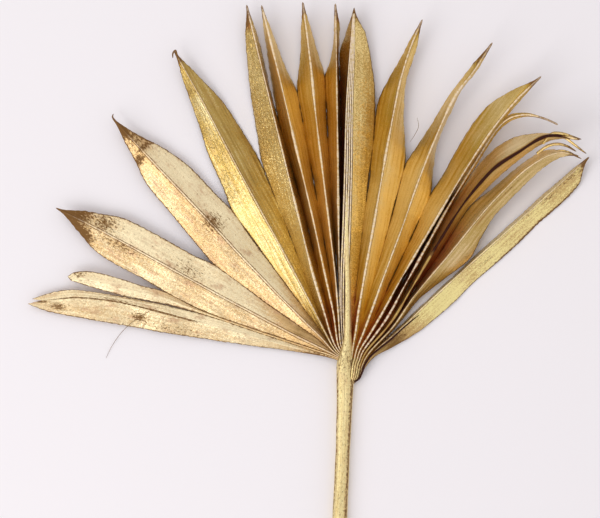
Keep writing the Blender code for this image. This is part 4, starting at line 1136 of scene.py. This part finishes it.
OPEN_SEGMENTS = 4  # the first segments, which lie open and pale
FOLDED_SEGMENTS = 9  # the next ones, which are folded deep
FLOOR_Z = -0.00005  # the floor is a hair below the leaf, in metres
FLOOR_REACH = 4.0  # metres of floor each way
VIEW_WIDTH = 0.300  # metres of floor across the view
VIEW_CENTRE = (-0.023, 0.0535)
CAMERA_HEIGHT = 5.0
AIM = (0.0, 0.06, 0.0)  # where the lights point
WORLD_LEFT = 0.51  # brightness of the surroundings at the left and at the right
WORLD_RIGHT = 0.84

# Each light's name, its place and size in metres, and its radiance.
LIGHTS = [
    ("upper_light", (-0.40, 0.70, 1.6), (1.0, 1.0), 1.2),
    ("lower_light", (-1.05, -0.75, 1.1), (1.15, 1.15), 2.9),
]


def finished(name, mesh, paint, nodes=()):
    """A piece in the scene that moves with the leaf, has its paint and stands for the given CAD nodes."""
    piece = bpy.data.objects.new(name, mesh)
    bpy.context.scene.collection.objects.link(piece)
    mesh.materials.append(gold_of(paint))
    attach(piece, BODY)
    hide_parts(*nodes)
    return piece


def thicken(piece, thickness):
    """A leaf's thickness, half to each side of its surface."""
    wall = piece.modifiers.new("thickness", "SOLIDIFY")
    wall.thickness = thickness
    wall.offset = 0.0
    return piece


def make_segments(first, last):
    """The segments from first to last, counted from 1, each a thickened blade."""
    sizes = bpy.context.scene.palm_leaf_sizes
    for number in range(first, last + 1):
        name = f"blade_{number:02d}"
        mesh = grid_mesh(name, *segment_grid(number - 1, sizes))
        piece = finished(name, mesh, LOOKS[number - 1]["paint"], [f"segment_{number:02d}"])
        thicken(piece, sizes.thickness)


def make_stalk():
    """The stalk with its tongue, the gathered bases beside its head and the costa."""
    sizes = bpy.context.scene.palm_leaf_sizes
    grid, facet = stalk_grid(sizes)
    rows, sides = grid.shape[:2]
    turn = np.linspace(0.0, 1.0, sides + 1)[None, :-1] + np.zeros((rows, 1))
    uv = np.stack([0.20 * turn, grid[:, :, 1] / 100.0], axis=2)
    # The facet that falls away to the right is browner and deeper in tone.
    right = step(facet, 0.5, 0.7)
    cut = np.zeros((rows, sides))
    cut[: CUT_ROWS + 1] = 1.0
    edge = step(np.abs(facet), 0.75, 0.98)
    head = 0.16 * bump(grid[:, :, 1] - 2.0, 6.0)
    brown = np.maximum(np.maximum(0.30 * right, head), 0.8 * cut)
    finish = np.stack([0.0 * right, 0.7 * edge, brown], axis=2)
    mesh = rings_to_mesh("stalk_with_tongue", grid, uv, finish, 0.35 + 0.45 * right)
    finished("stalk_with_tongue", mesh, "stalk", ["stalk"])
    for name, band in BANDS.items():
        piece = finished(name, grid_mesh(name, *band_grid(*band)), "speckled")
        thicken(piece, 1.6 * sizes.thickness)


def make_strands():
    """The split ends, hooks and curled edge, and the single fibres that have come away."""
    sizes = bpy.context.scene.palm_leaf_sizes
    for name, strand in STRANDS.items():
        piece = finished(name, grid_mesh(name, *strand_grid(*strand)), "amber")
        thicken(piece, 0.8 * sizes.thickness)
    for name, points in FIBRES.items():
        mesh = rings_to_mesh(name, *fibre_grid(points, 0.5 * sizes.fibre_diameter / MM))
        finished(name, mesh, "olive")


def make_floor():
    """A wide square of painted board."""
    mesh = bpy.data.meshes.new("floor")
    around = [(-1, -1), (1, -1), (1, 1), (-1, 1)]
    corners = [(FLOOR_REACH * x, FLOOR_REACH * y, FLOOR_Z) for x, y in around]
    mesh.from_pydata(corners, [], [(0, 1, 2, 3)])
    mesh.materials.append(studio_floor(bpy.context.scene.palm_leaf_colours))
    floor = bpy.data.objects.new("floor", mesh)
    bpy.context.scene.collection.objects.link(floor)


def make_surroundings():
    """A world that is dimmer at the left than at the right."""
    world = bpy.data.worlds.new("studio")
    world.use_nodes = True
    bpy.context.scene.world = world
    tree = world.node_tree
    back = tree.nodes["Background"]
    direction = tree.nodes.new("ShaderNodeTexCoord").outputs["Generated"]
    across = tree.nodes.new("ShaderNodeSeparateXYZ")
    tree.links.new(direction, across.inputs[0])
    fall = tree.nodes.new("ShaderNodeMapRange")
    fall.inputs["From Min"].default_value = -0.8
    fall.inputs["From Max"].default_value = 0.8
    fall.inputs["To Min"].default_value = WORLD_LEFT
    fall.inputs["To Max"].default_value = WORLD_RIGHT
    tree.links.new(across.outputs["X"], fall.inputs["Value"])
    tree.links.new(fall.outputs["Result"], back.inputs["Strength"])
    back.inputs["Color"].default_value = (1.0, 0.985, 0.99, 1.0)


def make_light(name, place, size, radiance):
    """A rectangular light that points at the leaf and isn't seen itself."""
    light = bpy.data.lights.new(name, "AREA")
    light.shape = "RECTANGLE"
    light.size, light.size_y = size
    light.energy = radiance * math.pi * size[0] * size[1]
    lamp = bpy.data.objects.new(name, light)
    lamp.location = place
    lamp.rotation_euler = (Vector(AIM) - Vector(place)).to_track_quat("-Z", "Y").to_euler()
    lamp.visible_camera = False
    bpy.context.scene.collection.objects.link(lamp)


def make_camera():
    """The camera, which looks straight down on the leaf from far off."""
    camera = bpy.data.cameras.new("camera")
    camera.sensor_width = 36.0
    camera.lens = camera.sensor_width * CAMERA_HEIGHT / VIEW_WIDTH
    holder = bpy.data.objects.new("camera", camera)
    holder.location = (*VIEW_CENTRE, CAMERA_HEIGHT)
    bpy.context.scene.collection.objects.link(holder)
    bpy.context.scene.camera = holder
    bpy.context.scene.view_settings.view_transform = "Standard"


def make_stage():
    """The floor, the surroundings, the lights and the camera."""
    make_floor()
    make_surroundings()
    for light in LIGHTS:
        make_light(*light)
    make_camera()


# ---------------------------------------------------------------------------------------------------------
# Add-on
# ---------------------------------------------------------------------------------------------------------


def colour(name, description, default):
    """A colour property."""
    return bpy.props.FloatVectorProperty(
        name=name, description=description, default=default, subtype="COLOR", size=3, min=0.0, max=1.0
    )


def length(name, description, default):
    """A length property in metres."""
    return bpy.props.FloatProperty(
        name=name, description=description, default=default, min=0.0, precision=5,
        unit="LENGTH", subtype="DISTANCE",
    )


class PalmLeafSizes(bpy.types.PropertyGroup):
    """Sizes of the leaf's surface detail."""

    thickness: length("Leaf thickness", "Thickness of a segment", 0.00035)
    fold_radius: length("Fold rounding", "How far from a rib the fold is rounded", 0.0003)
    vein_spacing: length("Vein spacing", "Distance between a segment's lengthwise veins", 0.0022)
    vein_height: length("Vein height", "Height of a vein over the blade", 0.00003)
    stalk_groove: length("Stalk groove", "Depth of the grooves along the stalk", 0.00010)
    fibre_diameter: length("Fibre diameter", "Diameter of a loose fibre", 0.00024)


class PalmLeafColours(bpy.types.PropertyGroup):
    """Colours of the gold paints, their painted shade, the bare leaf under them and the floor."""

    champagne_pale: colour("Champagne, pale", "Open segments where the paint is thick", (0.97, 0.82, 0.53))
    champagne_deep: colour("Champagne, deep", "Open segments where the paint is thin", (0.70, 0.46, 0.21))
    bright_pale: colour("Bright gold, pale", "First folded segment, thick paint", (0.94, 0.83, 0.48))
    bright_deep: colour("Bright gold, deep", "First folded segment, thin paint", (0.52, 0.35, 0.10))
    glitter_pale: colour("Glitter gold, pale", "Glittering segments, thick paint", (0.96, 0.75, 0.34))
    glitter_deep: colour("Glitter gold, deep", "Glittering segments, thin paint", (0.52, 0.34, 0.10))
    amber_pale: colour("Amber gold, pale", "Folded segments, thick paint", (0.88, 0.66, 0.30))
    amber_deep: colour("Amber gold, deep", "Folded segments, thin paint", (0.62, 0.38, 0.06))
    olive_pale: colour("Olive gold, pale", "Raised segments, thick paint", (0.88, 0.66, 0.36))
    olive_deep: colour("Olive gold, deep", "Raised segments, thin paint", (0.56, 0.38, 0.12))
    speckled_pale: colour("Speckled gold, pale", "Last segment, thick paint", (0.98, 0.84, 0.37))
    speckled_deep: colour("Speckled gold, deep", "Last segment, thin paint", (0.62, 0.41, 0.16))
    stalk_pale: colour("Stalk gold, pale", "Stalk where the paint is thick", (0.93, 0.79, 0.42))
    stalk_deep: colour("Stalk gold, deep", "Stalk where the paint is thin", (0.74, 0.55, 0.24))
    blush: colour("Blush", "Warm patches where the paint is rubbed", (0.62, 0.38, 0.22))
    # Painted shade: the dark colour that the folded golds turn to deep in folds and on halves turned from the
    # lamps.
    fold_painted_shade: colour("Fold, dark", "Thin paint deep in a fold", (0.34, 0.085, 0.025))
    # Painted shade: the dark colour that the paler golds turn to near the head and on halves turned from the
    # lamps.
    pale_gold_painted_shade: colour("Base, dark", "Thin paint on an open segment near the head", (0.22, 0.120, 0.030))
    leaf_dark: colour("Bare leaf, dark", "Dried leaf in stains and specks", (0.095, 0.036, 0.011))
    leaf_light: colour("Bare leaf, light", "Dried leaf along its fibres", (0.30, 0.155, 0.046))
    leaf_black: colour("Bare leaf, darkest", "Grooves beside the midribs, dead edges", (0.040, 0.010, 0.006))
    rib: colour("Rib", "Worn dots along the midribs", (0.86, 0.70, 0.52))
    floor: colour("Floor", "The painted board that the leaf lies on", (0.895, 0.855, 0.880))


class PALMLEAF_OT_stage(bpy.types.Operator):
    """Set the floor, the lights and the camera"""

    bl_idname = "palm_leaf.stage"
    bl_label = "Stage"

    def execute(self, context):
        make_stage()
        return {"FINISHED"}


class PALMLEAF_OT_open_segments(bpy.types.Operator):
    """Build the pale segments that lie open"""

    bl_idname = "palm_leaf.open_segments"
    bl_label = "Open segments"

    def execute(self, context):
        make_segments(1, OPEN_SEGMENTS)
        return {"FINISHED"}


class PALMLEAF_OT_folded_segments(bpy.types.Operator):
    """Build the deep folds in the middle of the fan"""

    bl_idname = "palm_leaf.folded_segments"
    bl_label = "Folded segments"

    def execute(self, context):
        make_segments(OPEN_SEGMENTS + 1, OPEN_SEGMENTS + FOLDED_SEGMENTS)
        return {"FINISHED"}


class PALMLEAF_OT_raised_segments(bpy.types.Operator):
    """Build the narrow segments whose tips stand up"""

    bl_idname = "palm_leaf.raised_segments"
    bl_label = "Raised segments"

    def execute(self, context):
        make_segments(OPEN_SEGMENTS + FOLDED_SEGMENTS + 1, len(SEGMENTS))
        return {"FINISHED"}


class PALMLEAF_OT_stalk(bpy.types.Operator):
    """Build the stalk with its tongue, the gathered bases and the costa"""

    bl_idname = "palm_leaf.stalk"
    bl_label = "Stalk"

    def execute(self, context):
        make_stalk()
        return {"FINISHED"}


class PALMLEAF_OT_strands(bpy.types.Operator):
    """Build the split ends, hooks, curled edge and loose fibres"""

    bl_idname = "palm_leaf.strands"
    bl_label = "Strands and fibres"

    def execute(self, context):
        make_strands()
        return {"FINISHED"}


OPERATORS = (
    PALMLEAF_OT_stage,
    PALMLEAF_OT_open_segments,
    PALMLEAF_OT_folded_segments,
    PALMLEAF_OT_raised_segments,
    PALMLEAF_OT_stalk,
    PALMLEAF_OT_strands,
)


class PALMLEAF_PT_panel(bpy.types.Panel):
    """The leaf's operators, sizes and colours"""

    bl_idname = "PALMLEAF_PT_panel"
    bl_label = "Palm leaf"
    bl_space_type = "VIEW_3D"
    bl_region_type = "UI"
    bl_category = "Palm leaf"

    def draw(self, context):
        for operator in OPERATORS:
            self.layout.operator(operator.bl_idname)
        for group in (context.scene.palm_leaf_sizes, context.scene.palm_leaf_colours):
            box = self.layout.box()
            for key in group.bl_rna.properties.keys():
                if key not in ("rna_type", "name"):
                    box.prop(group, key)


CLASSES = (PalmLeafSizes, PalmLeafColours, *OPERATORS, PALMLEAF_PT_panel)


def register():
    """Register the classes and put the properties on the scene."""
    for each in CLASSES:
        bpy.utils.register_class(each)
    bpy.types.Scene.palm_leaf_sizes = bpy.props.PointerProperty(type=PalmLeafSizes)
    bpy.types.Scene.palm_leaf_colours = bpy.props.PointerProperty(type=PalmLeafColours)


def unregister():
    """Take the properties off the scene and unregister the classes."""
    del bpy.types.Scene.palm_leaf_colours
    del bpy.types.Scene.palm_leaf_sizes
    for each in reversed(CLASSES):
        bpy.utils.unregister_class(each)


def main():
    """Build everything."""
    register()
    bpy.ops.palm_leaf.stage()
    bpy.ops.palm_leaf.open_segments()
    bpy.ops.palm_leaf.folded_segments()
    bpy.ops.palm_leaf.raised_segments()
    bpy.ops.palm_leaf.stalk()
    bpy.ops.palm_leaf.strands()


if __name__ == "__main__":
    main()
